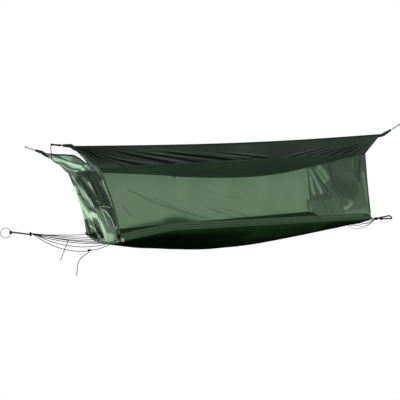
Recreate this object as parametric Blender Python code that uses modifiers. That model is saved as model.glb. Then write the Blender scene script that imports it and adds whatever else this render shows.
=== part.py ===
"""Hammock tent: a netted bed hung from a ring and a cord loop, under a roof sheet.

Metres, +Z up. The origin is the centre of the head ring. +X runs from the head to the foot,
and -Y is the side with the zipped entry.
"""

from math import atan2, cos, exp, log, pi, radians, sin, sqrt

import bmesh
import bpy
from mathutils import Matrix, Vector

# Gaps between pieces
GAP = 0.0003
SHEET_GAP = 0.0009
CORNER_GAP = 0.0005

# Bed
RING_TO_BED = 0.600
BED_LENGTH = 1.910
BED_WIDTH = 0.750
BED_THICKNESS = 0.0012
BED_SAG = 0.115
HEAD_HEM_SAG = 0.035
FOOT_HEM_SAG = 0.068
SAG_SKEW_SHARE = 0.8
BED_CREASE = 0.004

# Heights of the bed's corners, from the ring's centre
RIM_HEAD_FRONT = -0.087
RIM_HEAD_BACK = -0.068
RIM_FOOT_FRONT = -0.099
RIM_FOOT_BACK = -0.066
RIM_CREST = -0.049
CREST_FROM_HEAD = 0.400

# Edge webbing, hems
WEBBING_HEIGHT = 0.016
WEBBING_THICKNESS = 0.0022
HEM_DIAMETER = 0.015

# Zip
TAPE_HEIGHT = 0.014
TAPE_THICKNESS = 0.0016
ZIP_SLOT = 0.0014
SLIDER_LENGTH = 0.018
SLIDER_HEIGHT = 0.012
SLIDER_WALL = 0.0012
SLIDER_FROM_FOOT = 0.030
BAIL_WIRE = 0.0012
BAIL_ROOM = 0.0030
PULL_BAR = 0.0014
PULL_LENGTH = 0.032
PULL_WIDTH = 0.008
PULL_THICKNESS = 0.0010

# Net walls
NET_THICKNESS = 0.0010
NET_HEIGHT_HEAD = 0.357
NET_HEIGHT_FOOT_FRONT = 0.369
NET_HEIGHT_FOOT_BACK = 0.312
HEAD_OVERHANG = 0.098
FOOT_INSET = 0.021
NET_BILLOW = 0.004
HEAD_FOLD = 0.013
FOOT_FOLD = 0.008

# Roof sheet
ROOF_THICKNESS = 0.0014
CEILING_SAG = 0.093
CEILING_SKEW_SHARE = 1.36
EAVE_REACH = 0.042
ROOF_HEAD_REACH = 0.160
ROOF_FOOT_REACH = 0.150
EAVE_HEAD_HEIGHT = 0.488
EAVE_FOOT_HEIGHT = 0.503
EAVE_SAG = 0.021
HEAD_BACK_LIFT = 0.024
HEAD_BACK_LIFT_LENGTH = 0.14
HEAD_EDGE_DIP = 0.098
HEAD_EDGE_PULL_IN = 0.145
FOOT_EDGE_DIP = 0.078
FOOT_EDGE_PULL_IN = 0.090
EAVE_FOLD = 0.0085

# Roof corner ties
TAB_LENGTH = 0.066
TAB_WIDTH = 0.018
TAB_THICKNESS = 0.0022
TAB_EYE_WALL = 0.0016
LOOP_CORD = 0.0036
LOOP_LENGTH = 0.056
LOOP_CLEARANCE = 0.0004

# Ring and lines
RING_DIAMETER = 0.066
RING_WIRE = 0.0048
LINE_DIAMETER = 0.0045
BIGHT_LENGTH = 0.022
BIGHT_DIAMETER = 0.0155
KNOT_FROM_RING = 0.150
KNOT_LENGTH = 0.012
KNOT_DIAMETER = 0.0270
FOOT_LINES_LENGTH = 0.352
FOOT_LOOP_DROP = 0.074
FOOT_BIGHT_LENGTH = 0.022
FOOT_BIGHT_DIAMETER = 0.024
FOOT_LOOP_LENGTH = 0.158
FOOT_LOOP_WIDTH = 0.026
FOOT_LOOP_TILT = 0.012
SLACK_KNOT_DIAMETER = 0.016

# Small fittings
EYELET_DIAMETER = 0.018
EYELET_WIRE = 0.0028
LABEL_WIDTH = 0.026
LABEL_HEIGHT = 0.092
LABEL_THICKNESS = 0.0008
LAMP_TAB_WIDTH = 0.016
LAMP_TAB_HEIGHT = 0.012
LAMP_TAB_THICKNESS = 0.0070
LAMP_LOOP_HEIGHT = 0.042
LAMP_LOOP_WIDTH = 0.022
LAMP_CORD = 0.0032
LAMP_FROM_HEAD = 0.641

# Where each line meets its hem, from the front (-1) to the back (1), and how far it hangs
HEM_SHARES = (-0.88, -0.62, -0.38, -0.14, 0.14, 0.38, 0.62, 0.88)
HEAD_LINE_SAGS = (0.080, 0.050, 0.022, 0.014, 0.009, 0.006, 0.004, 0.004)
FOOT_LINE_SAGS = (0.012, 0.020, 0.040, 0.055, 0.034, 0.014, 0.010, 0.008)

# Free cord ends: points from where each is tied, chosen by hand, in metres
HEAD_TAIL_ROUTE = (
    (0.0, 0.0, 0.0),
    (-0.005, -0.001, -0.012),
    (-0.015, -0.002, -0.033),
    (-0.027, -0.003, -0.056),
    (-0.039, -0.003, -0.080),
    (-0.050, -0.004, -0.105),
    (-0.056, -0.004, -0.121),
)
KNOT_TAIL_ROUTE = (
    (0.0, 0.0, 0.0),
    (-0.013, -0.002, -0.007),
    (-0.034, -0.004, -0.018),
    (-0.056, -0.006, -0.034),
    (-0.070, -0.007, -0.053),
    (-0.078, -0.007, -0.080),
    (-0.083, -0.007, -0.108),
    (-0.088, -0.007, -0.136),
)
ROOF_TAIL_ROUTE = (
    (0.0, 0.0, 0.0),
    (-0.003, -0.001, -0.008),
    (-0.005, -0.002, -0.022),
    (-0.004, -0.002, -0.040),
    (-0.002, -0.003, -0.060),
    (-0.002, -0.004, -0.082),
)

# Facets along the bed's edges, alike on all that meet there
RIM_COLUMNS = 28
HEM_SEGMENTS = 24

FLAP_SHARE = 0.08
EAVE_SHARE = 0.18

HALF_WIDTH = BED_WIDTH / 2
BED_FOOT_X = RING_TO_BED + BED_LENGTH
SEAM_HEAD_X = RING_TO_BED - HEAD_OVERHANG
SEAM_FOOT_X = BED_FOOT_X - FOOT_INSET
ROOF_HALF_WIDTH = HALF_WIDTH + EAVE_REACH
ROOF_HEAD_X = SEAM_HEAD_X - ROOF_HEAD_REACH
ROOF_FOOT_X = SEAM_FOOT_X + ROOF_FOOT_REACH
CREST_X = RING_TO_BED + CREST_FROM_HEAD
HEM_RADIUS = HEM_DIAMETER / 2
RING_RADIUS = (RING_DIAMETER - RING_WIRE) / 2
LINE_RADIUS = LINE_DIAMETER / 2
DOOR_Y = -HALF_WIDTH


def mix(low, high, share):
    """The value a share of the way from low to high."""
    return low + (high - low) * share


def new_collection(name):
    """A collection linked to the scene."""
    collection = bpy.data.collections.new(name)
    bpy.context.scene.collection.children.link(collection)
    return collection


for old in list(bpy.data.objects):
    bpy.data.objects.remove(old, do_unlink=True)

PARTS = new_collection("hammock_tent")
CUTTERS = new_collection("cutters")


def material(name, colour, roughness, metallic=0.0):
    """A plain Principled material."""
    made = bpy.data.materials.new(name)
    made.use_nodes = True
    shader = made.node_tree.nodes["Principled BSDF"]
    shader.inputs["Base Color"].default_value = (*colour, 1.0)
    shader.inputs["Roughness"].default_value = roughness
    shader.inputs["Metallic"].default_value = metallic
    return made


ROOF_CLOTH = material("roof_cloth", (0.030, 0.048, 0.040), 0.45)
BED_CLOTH = material("bed_cloth", (0.008, 0.014, 0.009), 0.60)
NET_CLOTH = material("net_cloth", (0.130, 0.210, 0.140), 0.80)
END_NET = material("end_net", (0.300, 0.460, 0.330), 0.60)
WEBBING = material("webbing", (0.010, 0.013, 0.011), 0.75)
CORD = material("cord", (0.045, 0.058, 0.048), 0.80)
STEEL = material("steel", (0.620, 0.620, 0.600), 0.30, 1.0)
ZIP_TAPE = material("zip_tape", (0.012, 0.018, 0.013), 0.70)
LABEL_CLOTH = material("label_cloth", (0.820, 0.820, 0.800), 0.80)
PALE_TAPE = material("pale_tape", (0.620, 0.680, 0.600), 0.70)


def adopt(obj, name, finish):
    """Names an object, gives it its finish and files it with the parts."""
    obj.name = name
    obj.data.name = name
    obj.data.materials.clear()
    obj.data.materials.append(finish)
    for collection in list(obj.users_collection):
        collection.objects.unlink(obj)
    PARTS.objects.link(obj)
    return obj


def mesh_object(name, shape, finish, smooth=False):
    """An object from a finished bmesh."""
    mesh = bpy.data.meshes.new(name)
    shape.to_mesh(mesh)
    shape.free()
    if smooth:
        mesh.shade_smooth()
    obj = bpy.data.objects.new(name, mesh)
    return adopt(obj, name, finish)


def sheet(name, finish, columns, rows, place, thickness):
    """A cloth sheet: a unit grid, each point moved by place(u, v), then given its thickness."""
    shape = bmesh.new()
    bmesh.ops.create_grid(shape, x_segments=columns, y_segments=rows, size=1.0)
    for vert in shape.verts:
        vert.co = place((vert.co.x + 1) / 2, (vert.co.y + 1) / 2)
    obj = mesh_object(name, shape, finish, smooth=True)
    wall = obj.modifiers.new("thickness", "SOLIDIFY")
    wall.thickness = thickness
    wall.offset = 0.0
    return obj


def hang_from(obj, carrier):
    """Parents an object to the piece or empty that it moves with, left where it is."""
    bpy.context.view_layer.update()
    obj.parent = carrier
    obj.matrix_parent_inverse = carrier.matrix_world.inverted()


def box(name, finish, low, high):
    """A box between two corners, its object at its centre."""
    size = Vector(high) - Vector(low)
    shape = bmesh.new()
    bmesh.ops.create_cube(shape, size=1.0, matrix=Matrix.Diagonal((*size, 1.0)))
    obj = mesh_object(name, shape, finish)
    obj.location = (Vector(high) + Vector(low)) / 2
    return obj


def wire(name, finish, points, diameter, closed=False):
    """A round cord or wire along points."""
    curve = bpy.data.curves.new(name, "CURVE")
    curve.dimensions = "3D"
    curve.bevel_depth = diameter / 2
    curve.bevel_resolution = 2
    curve.use_fill_caps = not closed
    spline = curve.splines.new("POLY")
    spline.points.add(len(points) - 1)
    for index, point in enumerate(points):
        spline.points[index].co = (*point, 1.0)
    spline.use_cyclic_u = closed
    return adopt(bpy.data.objects.new(name, curve), name, finish)


def smooth_route(points, step):
    """Points a step apart along the smooth curve through the given ones."""
    knots = [Vector(point) for point in points]
    knots = [knots[0] * 2 - knots[1]] + knots + [knots[-1] * 2 - knots[-2]]
    route = []
    for first, start, end, last in zip(knots, knots[1:], knots[2:], knots[3:]):
        count = max(1, round((end - start).length / step))
        for index in range(count):
            t = index / count
            bend = (first * 2 - start * 5 + end * 4 - last) * t ** 2
            turn = (start * 3 - first - end * 3 + last) * t ** 3
            route.append((start * 2 + (end - first) * t + bend + turn) / 2)
    return route + [knots[-2]]


def to_mesh(obj):
    """Replaces a curve object by the mesh that it shows, with its caps welded."""
    graph = bpy.context.evaluated_depsgraph_get()
    mesh = bpy.data.meshes.new_from_object(obj.evaluated_get(graph))
    shape = bmesh.new()
    shape.from_mesh(mesh)
    bmesh.ops.remove_doubles(shape, verts=shape.verts, dist=GAP / 100)
    shape.to_mesh(mesh)
    shape.free()
    made = bpy.data.objects.new(obj.name, mesh)
    made.matrix_world = obj.matrix_world
    bpy.data.objects.remove(obj, do_unlink=True)
    return made


# Edges of the bed and of the net box


def rim_front(x):
    """Height of the front edge: straight from the foot to the crest, then down to the head."""
    slope = (RIM_CREST - RIM_FOOT_FRONT) / (BED_FOOT_X - CREST_X)
    line = RIM_FOOT_FRONT + (BED_FOOT_X - x) * slope
    if x >= CREST_X:
        return line
    past = (CREST_X - x) / CREST_FROM_HEAD
    drop = RIM_FOOT_FRONT + BED_LENGTH * slope - RIM_HEAD_FRONT
    return line - drop * past ** 1.4


def rim_back(x):
    """Height of the back edge."""
    return mix(RIM_HEAD_BACK, RIM_FOOT_BACK, (x - RING_TO_BED) / BED_LENGTH)


def hem_height(y, head):
    """Height of an end hem's middle line, which hangs between the bed's corners."""
    across = (y + HALF_WIDTH) / BED_WIDTH
    if head:
        corners = mix(RIM_HEAD_FRONT, RIM_HEAD_BACK, across)
        return corners - HEAD_HEM_SAG * 4 * across * (1 - across)
    corners = mix(RIM_FOOT_FRONT, RIM_FOOT_BACK, across)
    return corners - FOOT_HEM_SAG * 4 * across * (1 - across)


def hem_top(y, head):
    """Height of an end hem's upper side, straight above its middle line."""
    across = (y + HALF_WIDTH) / BED_WIDTH
    sag = HEAD_HEM_SAG if head else FOOT_HEM_SAG
    lean = 4 * sag * (1 - 2 * across) / BED_WIDTH
    return hem_height(y, head) + HEM_RADIUS * sqrt(1 + lean ** 2)


def corner_x(z, head):
    """x of an end panel at a height: the head end bows inwards, the foot end is nearly upright."""
    top = NET_HEIGHT_HEAD if head else NET_HEIGHT_FOOT_FRONT
    bottom = RIM_HEAD_FRONT if head else RIM_FOOT_FRONT
    down = min(1.0, max(0.0, (top - z) / (top - bottom)))
    if head:
        return SEAM_HEAD_X + HEAD_OVERHANG * sin(pi / 2 * down)
    return SEAM_FOOT_X + FOOT_INSET * down ** 2


def seam_height(x, y):
    """Height of the line where the net hangs from the roof."""
    along = (x - SEAM_HEAD_X) / (SEAM_FOOT_X - SEAM_HEAD_X)
    across = (y + HALF_WIDTH) / BED_WIDTH
    foot = mix(NET_HEIGHT_FOOT_FRONT, NET_HEIGHT_FOOT_BACK, across)
    return mix(NET_HEIGHT_HEAD, foot, along)


SHEET_EDGE = NET_THICKNESS / 2 + GAP
SEAM_DROP = ROOF_THICKNESS / 2 + GAP * 2
DOOR_ZIP_TOP = WEBBING_HEIGHT / 2 + GAP + TAPE_HEIGHT + ZIP_SLOT + TAPE_HEIGHT


def bed_place(u, v):
    """The bed: a trough, deepest a little nearer the head."""
    inset = HEM_RADIUS + SHEET_GAP
    x = mix(RING_TO_BED + inset, BED_FOOT_X - inset, u)
    y = mix(-HALF_WIDTH, HALF_WIDTH, v)
    along = (x - RING_TO_BED) / BED_LENGTH
    rim = mix(rim_front(x), rim_back(x), v)
    hang = mix(HEAD_HEM_SAG, FOOT_HEM_SAG, along) + BED_SAG * sin(pi * along ** SAG_SKEW_SHARE)
    crease = BED_CREASE * sin(8 * pi * v) * (1 - along) ** 2 * 4 * v * (1 - v) * sin(pi * along)
    drop = WEBBING_HEIGHT / 2 + SHEET_GAP
    return Vector((x, y, rim - drop - hang * 4 * v * (1 - v) + crease))


def strip_along_rim(name, finish, height_at, x_low, x_high, y, bottom, top, thickness):
    """A flat upright strip that follows a long edge, from bottom to top above its line."""
    def place(u, v):
        x = mix(x_low, x_high, u)
        return Vector((x, y, height_at(x) + mix(bottom, top, v)))
    return sheet(name, finish, RIM_COLUMNS, 1, place, thickness)


def make_bed():
    """The bed, its side webbings and its end hems."""
    sheet("bed", BED_CLOTH, RIM_COLUMNS, 12, bed_place, BED_THICKNESS)
    half = WEBBING_HEIGHT / 2
    ends = HEM_RADIUS + GAP
    for side, height_at, y in (("front", rim_front, -HALF_WIDTH), ("back", rim_back, HALF_WIDTH)):
        strip_along_rim(f"{side}_edge_webbing", WEBBING, height_at, RING_TO_BED + ends,
                        BED_FOOT_X - ends, y, -half, half, WEBBING_THICKNESS)
    reach = HALF_WIDTH + WEBBING_THICKNESS
    for end, x in (("head", RING_TO_BED), ("foot", BED_FOOT_X)):
        points = []
        for index in range(HEM_SEGMENTS + 1):
            y = mix(-reach, reach, index / HEM_SEGMENTS)
            points.append((x, y, hem_height(y, end == "head")))
        wire(f"{end}_hem", BED_CLOTH, points, HEM_DIAMETER)


def end_panel_place(head):
    """The place function of an end net panel, hung from the roof and reaching its hem."""
    def place(u, v):
        side = HALF_WIDTH - TAPE_THICKNESS / 2 - SHEET_EDGE
        y = mix(-side, side, u)
        seam_x = SEAM_HEAD_X if head else SEAM_FOOT_X
        top = seam_height(seam_x, y) - SEAM_DROP
        bottom = hem_top(y, head) + SHEET_GAP
        z = mix(top, bottom, v)
        x = corner_x(z, head)
        depth = HEAD_FOLD if head else FOOT_FOLD
        ease = min(1, 5 * u * (1 - u)) * min(1, 6 * v * (1 - v))
        slant = u + 0.30 * v
        fold = sin(2 * pi * 4.5 * slant) + 0.45 * sin(2 * pi * 9.0 * slant + 1)
        return Vector((x + depth * ease * fold * 0.7, y, z))
    return place


def door_place(u, v):
    """The entry wall: net from the seam down to the zip tape, with faint slanting creases."""
    inset = TAPE_HEIGHT + GAP
    x_low = mix(SEAM_HEAD_X, RING_TO_BED, v) + inset
    x_near = mix(x_low, mix(SEAM_FOOT_X, BED_FOOT_X, v) - inset, u)
    top = seam_height(x_near, DOOR_Y) - SEAM_DROP - TAPE_THICKNESS
    bottom = rim_front(x_near) + DOOR_ZIP_TOP + SHEET_GAP
    z = mix(top, bottom, v)
    x = mix(corner_x(z, True) + inset, corner_x(z, False) - inset, u)
    ease = min(1, 8 * u * (1 - u)) * 4 * v * (1 - v)
    crease = NET_BILLOW * ease * sin(2 * pi * (3.5 * u + 0.6 * v))
    return Vector((x, DOOR_Y - abs(crease), z))


def back_place(u, v):
    """The back net wall."""
    x_near = mix(mix(SEAM_HEAD_X, RING_TO_BED, v), mix(SEAM_FOOT_X, BED_FOOT_X, v), u)
    top = seam_height(x_near, HALF_WIDTH) - SEAM_DROP
    bottom = rim_back(x_near) + WEBBING_HEIGHT / 2 + SHEET_GAP
    z = mix(top, bottom, v)
    x = mix(corner_x(z, True), corner_x(z, False), u)
    ease = min(1, 8 * u * (1 - u)) * 4 * v * (1 - v)
    billow = NET_BILLOW * ease * sin(2 * pi * (4.0 * u - 0.5 * v))
    return Vector((x, HALF_WIDTH + billow, z))


def corner_tape_place(head):
    """The upright zip tape at an entry corner, from the seam to above the slider."""
    def place(u, v):
        end = SEAM_HEAD_X if head else SEAM_FOOT_X
        top = seam_height(end, DOOR_Y) - SEAM_DROP - TAPE_THICKNESS
        bottom = rim_front(RING_TO_BED if head else BED_FOOT_X) + DOOR_ZIP_TOP + SHEET_GAP
        z = mix(top, bottom, v)
        outward = -1 if head else 1
        reach = mix(outward * NET_THICKNESS, outward * (GAP - TAPE_HEIGHT), u)
        return Vector((corner_x(z, head) + reach, DOOR_Y, z))
    return place


def make_walls():
    """Four net walls and the upright zip tapes of the entry."""
    sheet("front_net_wall", NET_CLOTH, RIM_COLUMNS, 10, door_place, NET_THICKNESS)
    sheet("back_net_wall", NET_CLOTH, RIM_COLUMNS, 7, back_place, NET_THICKNESS)
    sheet("head_end_panel", END_NET, 34, 12, end_panel_place(True), NET_THICKNESS)
    sheet("foot_end_panel", NET_CLOTH, 24, 10, end_panel_place(False), NET_THICKNESS)
    for end in ("head", "foot"):
        place = corner_tape_place(end == "head")
        sheet(f"{end}_corner_zip_tape", ZIP_TAPE, 1, 10, place, TAPE_THICKNESS)


def ceiling_height(x, y):
    """Height of the roof between its seams: it sags, deepest past its middle."""
    along = (x - SEAM_HEAD_X) / (SEAM_FOOT_X - SEAM_HEAD_X)
    along = min(1.0, max(0.0, along))
    across = min(1.0, abs(y) / HALF_WIDTH)
    hang = CEILING_SAG * sin(pi * along ** CEILING_SKEW_SHARE) * (1 - across ** 2)
    return seam_height(x, y) - hang


def eave_height(x, across=0.0):
    """Height of the roof's long edges: nearly straight, with the head-back corner lifted."""
    along = (x - ROOF_HEAD_X) / (ROOF_FOOT_X - ROOF_HEAD_X)
    lift = HEAD_BACK_LIFT * max(0.0, 2 * across - 1)
    lift *= exp((ROOF_HEAD_X - x) / HEAD_BACK_LIFT_LENGTH)
    return mix(EAVE_HEAD_HEIGHT, EAVE_FOOT_HEIGHT, along) - EAVE_SAG * sin(pi * along) + lift


def end_edge(across, head):
    """x and height of a roof end's edge, which dips between its two corners."""
    if head:
        dip = sin(pi * across ** 0.625) ** 2
        x = ROOF_HEAD_X + HEAD_EDGE_PULL_IN * dip
        return x, eave_height(ROOF_HEAD_X, across) - HEAD_EDGE_DIP * dip
    dip = sin(pi * across) ** 1.4
    x = ROOF_FOOT_X - FOOT_EDGE_PULL_IN * dip
    return x, eave_height(ROOF_FOOT_X) - FOOT_EDGE_DIP * dip


def edge_fraction(t, share):
    """How far t is into the band before a share (negative) or after 1 - share (positive)."""
    if t < share:
        return -(share - t) / share
    if t > 1 - share:
        return (t - 1 + share) / share
    return 0.0


def roof_place(u, v):
    """The roof sheet: sagging ceiling, upright eaves and end flaps drawn out to the corners."""
    flap = edge_fraction(u, FLAP_SHARE)
    eave = edge_fraction(v, EAVE_SHARE)
    inner_u = min(1.0, max(0.0, (u - FLAP_SHARE) / (1 - 2 * FLAP_SHARE)))
    inner_v = min(1.0, max(0.0, (v - EAVE_SHARE) / (1 - 2 * EAVE_SHARE)))
    y = mix(-HALF_WIDTH, HALF_WIDTH, inner_v) + EAVE_REACH * eave
    across = (y + ROOF_HALF_WIDTH) / (2 * ROOF_HALF_WIDTH)
    seam_x = mix(SEAM_HEAD_X, SEAM_FOOT_X, inner_u)
    edge_x, edge_z = end_edge(across, flap <= 0)
    x = mix(seam_x, edge_x, abs(flap))
    low = mix(ceiling_height(seam_x, y), edge_z, abs(flap))
    z = mix(low, eave_height(x, across), abs(eave))
    if eave and not flap:
        band = 4 * abs(eave) * (1 - abs(eave))
        fall = eave_height(x, across) - z + HEM_RADIUS
        nearer = min(x - ROOF_HEAD_X, ROOF_FOOT_X - x)
        ray = log(fall / nearer)
        y += EAVE_FOLD * band * sin(2 * pi * 1.3 * ray) * min(1, 6 * inner_u * (1 - inner_u))
    return Vector((x, y, z))


def make_roof():
    """The roof sheet in one piece."""
    sheet("roof_sheet", ROOF_CLOTH, 38, 16, roof_place, ROOF_THICKNESS)


CORNER_TIES = (
    ("head_front", (ROOF_HEAD_X, -ROOF_HALF_WIDTH, EAVE_HEAD_HEIGHT), (-0.97, -0.16, 0.08)),
    ("head_back", (ROOF_HEAD_X, ROOF_HALF_WIDTH, EAVE_HEAD_HEIGHT + HEAD_BACK_LIFT), (-0.88, 0.30, 0.36)),
    ("foot_front", (ROOF_FOOT_X, -ROOF_HALF_WIDTH, EAVE_FOOT_HEIGHT), (0.66, -0.52, 0.46)),
    ("foot_back", (ROOF_FOOT_X, ROOF_HALF_WIDTH, EAVE_FOOT_HEIGHT), (0.84, 0.40, 0.36)),
)
EYE_BORE = LOOP_CORD / 2 + LOOP_CLEARANCE
EYE_RADIUS = EYE_BORE + TAB_EYE_WALL


def tie_frame(corner, direction):
    """A frame at a roof corner: x out along the tie, y across the tab, z off its face."""
    out = Vector(direction).normalized()
    across = Vector((0.0, 0.0, 1.0)).cross(out).normalized()
    face = out.cross(across)
    turn = Matrix((out, across, face)).transposed().to_4x4()
    return Matrix.Translation(Vector(corner)) @ turn


def make_tab(name, frame):
    """A webbing tab folded back at its end, so that the fold holds the cord loop."""
    half = TAB_THICKNESS / 2
    start = CORNER_GAP
    opening = atan2(half, sqrt(EYE_RADIUS ** 2 - half ** 2))
    outline = [(start, half), (start, -half)]
    for index in range(17):
        angle = mix(-pi + opening, pi - opening, index / 16)
        outline.append((TAB_LENGTH + EYE_RADIUS * cos(angle), EYE_RADIUS * sin(angle)))
    bore = [(TAB_LENGTH + EYE_BORE * cos(pi * index / 6), EYE_BORE * sin(pi * index / 6))
            for index in range(12)]
    curve = bpy.data.curves.new(name, "CURVE")
    curve.dimensions = "2D"
    curve.fill_mode = "BOTH"
    curve.extrude = TAB_WIDTH / 2
    for ring in (outline, bore):
        spline = curve.splines.new("POLY")
        spline.points.add(len(ring) - 1)
        for index, (x, y) in enumerate(ring):
            spline.points[index].co = (x, y, 0.0, 1.0)
        spline.use_cyclic_u = True
    tab = bpy.data.objects.new(name, curve)
    PARTS.objects.link(tab)
    tab.matrix_world = frame @ Matrix.Rotation(radians(90), 4, "X")
    bpy.context.view_layer.update()
    return adopt(to_mesh(tab), name, WEBBING)


def make_tie_loop(name, frame):
    """A closed cord loop, its base lying in the tab's fold and its tip knotted."""
    base = TAB_WIDTH / 2 + LOOP_CORD
    points = [(0.0, -TAB_WIDTH / 2, 0.0), (0.0, TAB_WIDTH / 2, 0.0)]
    points += [(LOOP_CORD * 0.6, base, 0.0), (LOOP_CORD * 2, base, 0.0)]
    tip = LOOP_CORD * 1.5
    for index in range(1, 4):
        share = index / 4
        points.append((mix(LOOP_CORD * 2, LOOP_LENGTH - tip, share), mix(base, tip, share), 0.0))
    for index in range(5):
        angle = pi / 2 - pi * index / 4
        points.append((LOOP_LENGTH - tip + tip * cos(angle), tip * sin(angle), 0.0))
    for index in range(3, 0, -1):
        share = index / 4
        points.append((mix(LOOP_CORD * 2, LOOP_LENGTH - tip, share), -mix(base, tip, share), 0.0))
    points += [(LOOP_CORD * 2, -base, 0.0), (LOOP_CORD * 0.6, -base, 0.0)]
    loop = wire(name, CORD, points, LOOP_CORD, closed=True)
    loop.matrix_world = frame @ Matrix.Translation((TAB_LENGTH, 0.0, 0.0))
    return loop


def make_corner_ties():
    """A tab and a loop at each roof corner, and the cord end on the head-front loop."""
    for corner, place, direction in CORNER_TIES:
        frame = tie_frame(place, direction)
        make_tab(f"{corner}_roof_tab", frame)
        loop = make_tie_loop(f"{corner}_roof_loop", frame)
        if corner == "head_front":
            tip = frame @ Vector((TAB_LENGTH + LOOP_LENGTH, 0.0, 0.0))
            start = tip - Vector((0.0, 0.0, LOOP_CORD / 2 + GAP * 2))
            route = [start + Vector(point) for point in ROOF_TAIL_ROUTE]
            end = wire("head_front_cord_end", CORD, smooth_route(route, LINE_DIAMETER * 3),
                       LINE_DIAMETER)
            hang_from(end, loop)


# Ring, lines and knots


def turned_sleeve(name, finish, length, outer, bore, steps=20):
    """A short tube about its own Z, with rounded edges: a band of wound cord."""
    edge = (outer - bore) / 3
    half = length / 2
    profile = [(bore, half), (outer - edge, half), (outer, half - edge), (outer, edge - half),
               (outer - edge, -half), (bore, -half)]
    shape = bmesh.new()
    verts = [shape.verts.new((x, 0.0, z)) for x, z in profile]
    for first, second in zip(verts, verts[1:] + verts[:1]):
        shape.edges.new((first, second))
    obj = mesh_object(name, shape, finish)
    screw = obj.modifiers.new("turn", "SCREW")
    screw.steps = steps
    screw.render_steps = steps
    screw.use_merge_vertices = True
    screw.merge_threshold = GAP / 10
    return obj


BIGHT_BORE = RING_WIRE / 2 + (BIGHT_LENGTH / 2) ** 2 / (2 * RING_RADIUS) + 2 * GAP
KNOT_X = KNOT_FROM_RING
BUNDLE_SPACING = LINE_DIAMETER + 2 * GAP
BUNDLE_RADIUS = sqrt((1.5 * BUNDLE_SPACING) ** 2 + (0.5 * BUNDLE_SPACING) ** 2) + LINE_RADIUS
FOOT_KNOT_X = BED_FOOT_X + FOOT_LINES_LENGTH
FOOT_KNOT_Z = RIM_FOOT_BACK - FOOT_LOOP_DROP


def bundle_place(index, sags):
    """Where line number index lies in the bundle: four pairs, the slacker of each pair below."""
    partner = index + 1 - 2 * (index % 2)
    below = (sags[index], index) > (sags[partner], partner)
    level = -BUNDLE_SPACING / 2 if below else BUNDLE_SPACING / 2
    return (index // 2 - 1.5) * BUNDLE_SPACING, level


def knot_height():
    """Height of the crossing of the head lines, on the way from the ring to the hem."""
    return hem_height(0.0, True) * KNOT_X / RING_TO_BED * 0.75


def head_line_route(index):
    """One head line: out of the bight, through the crossing, then fanned to the hem."""
    side, level = bundle_place(index, HEAD_LINE_SAGS)
    start_x = RING_RADIUS + BIGHT_DIAMETER / 2 + GAP
    knot = Vector((KNOT_X, side, knot_height() + level))
    share = HEM_SHARES[index] * HALF_WIDTH
    hem = Vector((RING_TO_BED - HEM_RADIUS - GAP * 2, share, hem_height(share, True)))
    start = Vector((start_x, side, level))
    points = [start, start + (knot - start) * 0.1, mix_points(start, knot, 0.5)]
    points += [knot - Vector((KNOT_LENGTH, 0.0, 0.0)), knot + Vector((KNOT_LENGTH, 0.0, 0.0))]
    leave = points[-1]
    for step in (0.15, 0.3, 0.45, 0.6, 0.75, 0.9, 1.0):
        point = mix_points(leave, hem, step)
        point.z -= HEAD_LINE_SAGS[index] * 4 * step * (1 - step)
        points.append(point)
    points[-1].x -= end_room(points[-2], points[-1])
    return points


def end_room(before, end):
    """How far a line's flat end stands off, so that its rim clears what the line runs to."""
    return LINE_RADIUS * sqrt(1 - (end - before).normalized().x ** 2)


def mix_points(first, second, share):
    """The point a share of the way from first to second."""
    return first + (second - first) * share


def foot_line_route(index):
    """One foot line: from the hem to the foot knot, hanging between them."""
    side, level = bundle_place(index, FOOT_LINE_SAGS)
    share = HEM_SHARES[index] * HALF_WIDTH
    hem = Vector((BED_FOOT_X + HEM_RADIUS + GAP * 2, share, hem_height(share, False)))
    reach = FOOT_BIGHT_DIAMETER / 2 + GAP
    knot = Vector((FOOT_KNOT_X - reach, side, FOOT_KNOT_Z + level))
    points = []
    for step in (0.0, 0.12, 0.26, 0.4, 0.55, 0.7, 0.82, 0.91):
        point = mix_points(hem, knot, step)
        point.z -= FOOT_LINE_SAGS[index] * 4 * step * (1 - step)
        points.append(point)
    points[0].x += end_room(points[1], points[0])
    points.append(knot - Vector((LINE_DIAMETER, 0.0, 0.0)))
    return points + [knot]


def make_ring():
    """The steel ring, upright, with the lines' bight about the wire at its foot side."""
    bpy.ops.mesh.primitive_torus_add(major_radius=RING_RADIUS, minor_radius=RING_WIRE / 2,
                                     major_segments=40, minor_segments=8,
                                     rotation=(radians(90), 0.0, 0.0))
    ring = bpy.context.object
    ring.data.shade_smooth()
    adopt(ring, "head_ring", STEEL)
    ring.data.transform(Matrix.Translation((-RING_RADIUS, 0.0, 0.0)))
    ring.location = (RING_RADIUS, 0.0, 0.0)
    bight = turned_sleeve("head_bight", CORD, BIGHT_LENGTH, BIGHT_DIAMETER / 2, BIGHT_BORE)
    bight.location = (RING_RADIUS, 0.0, 0.0)


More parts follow.
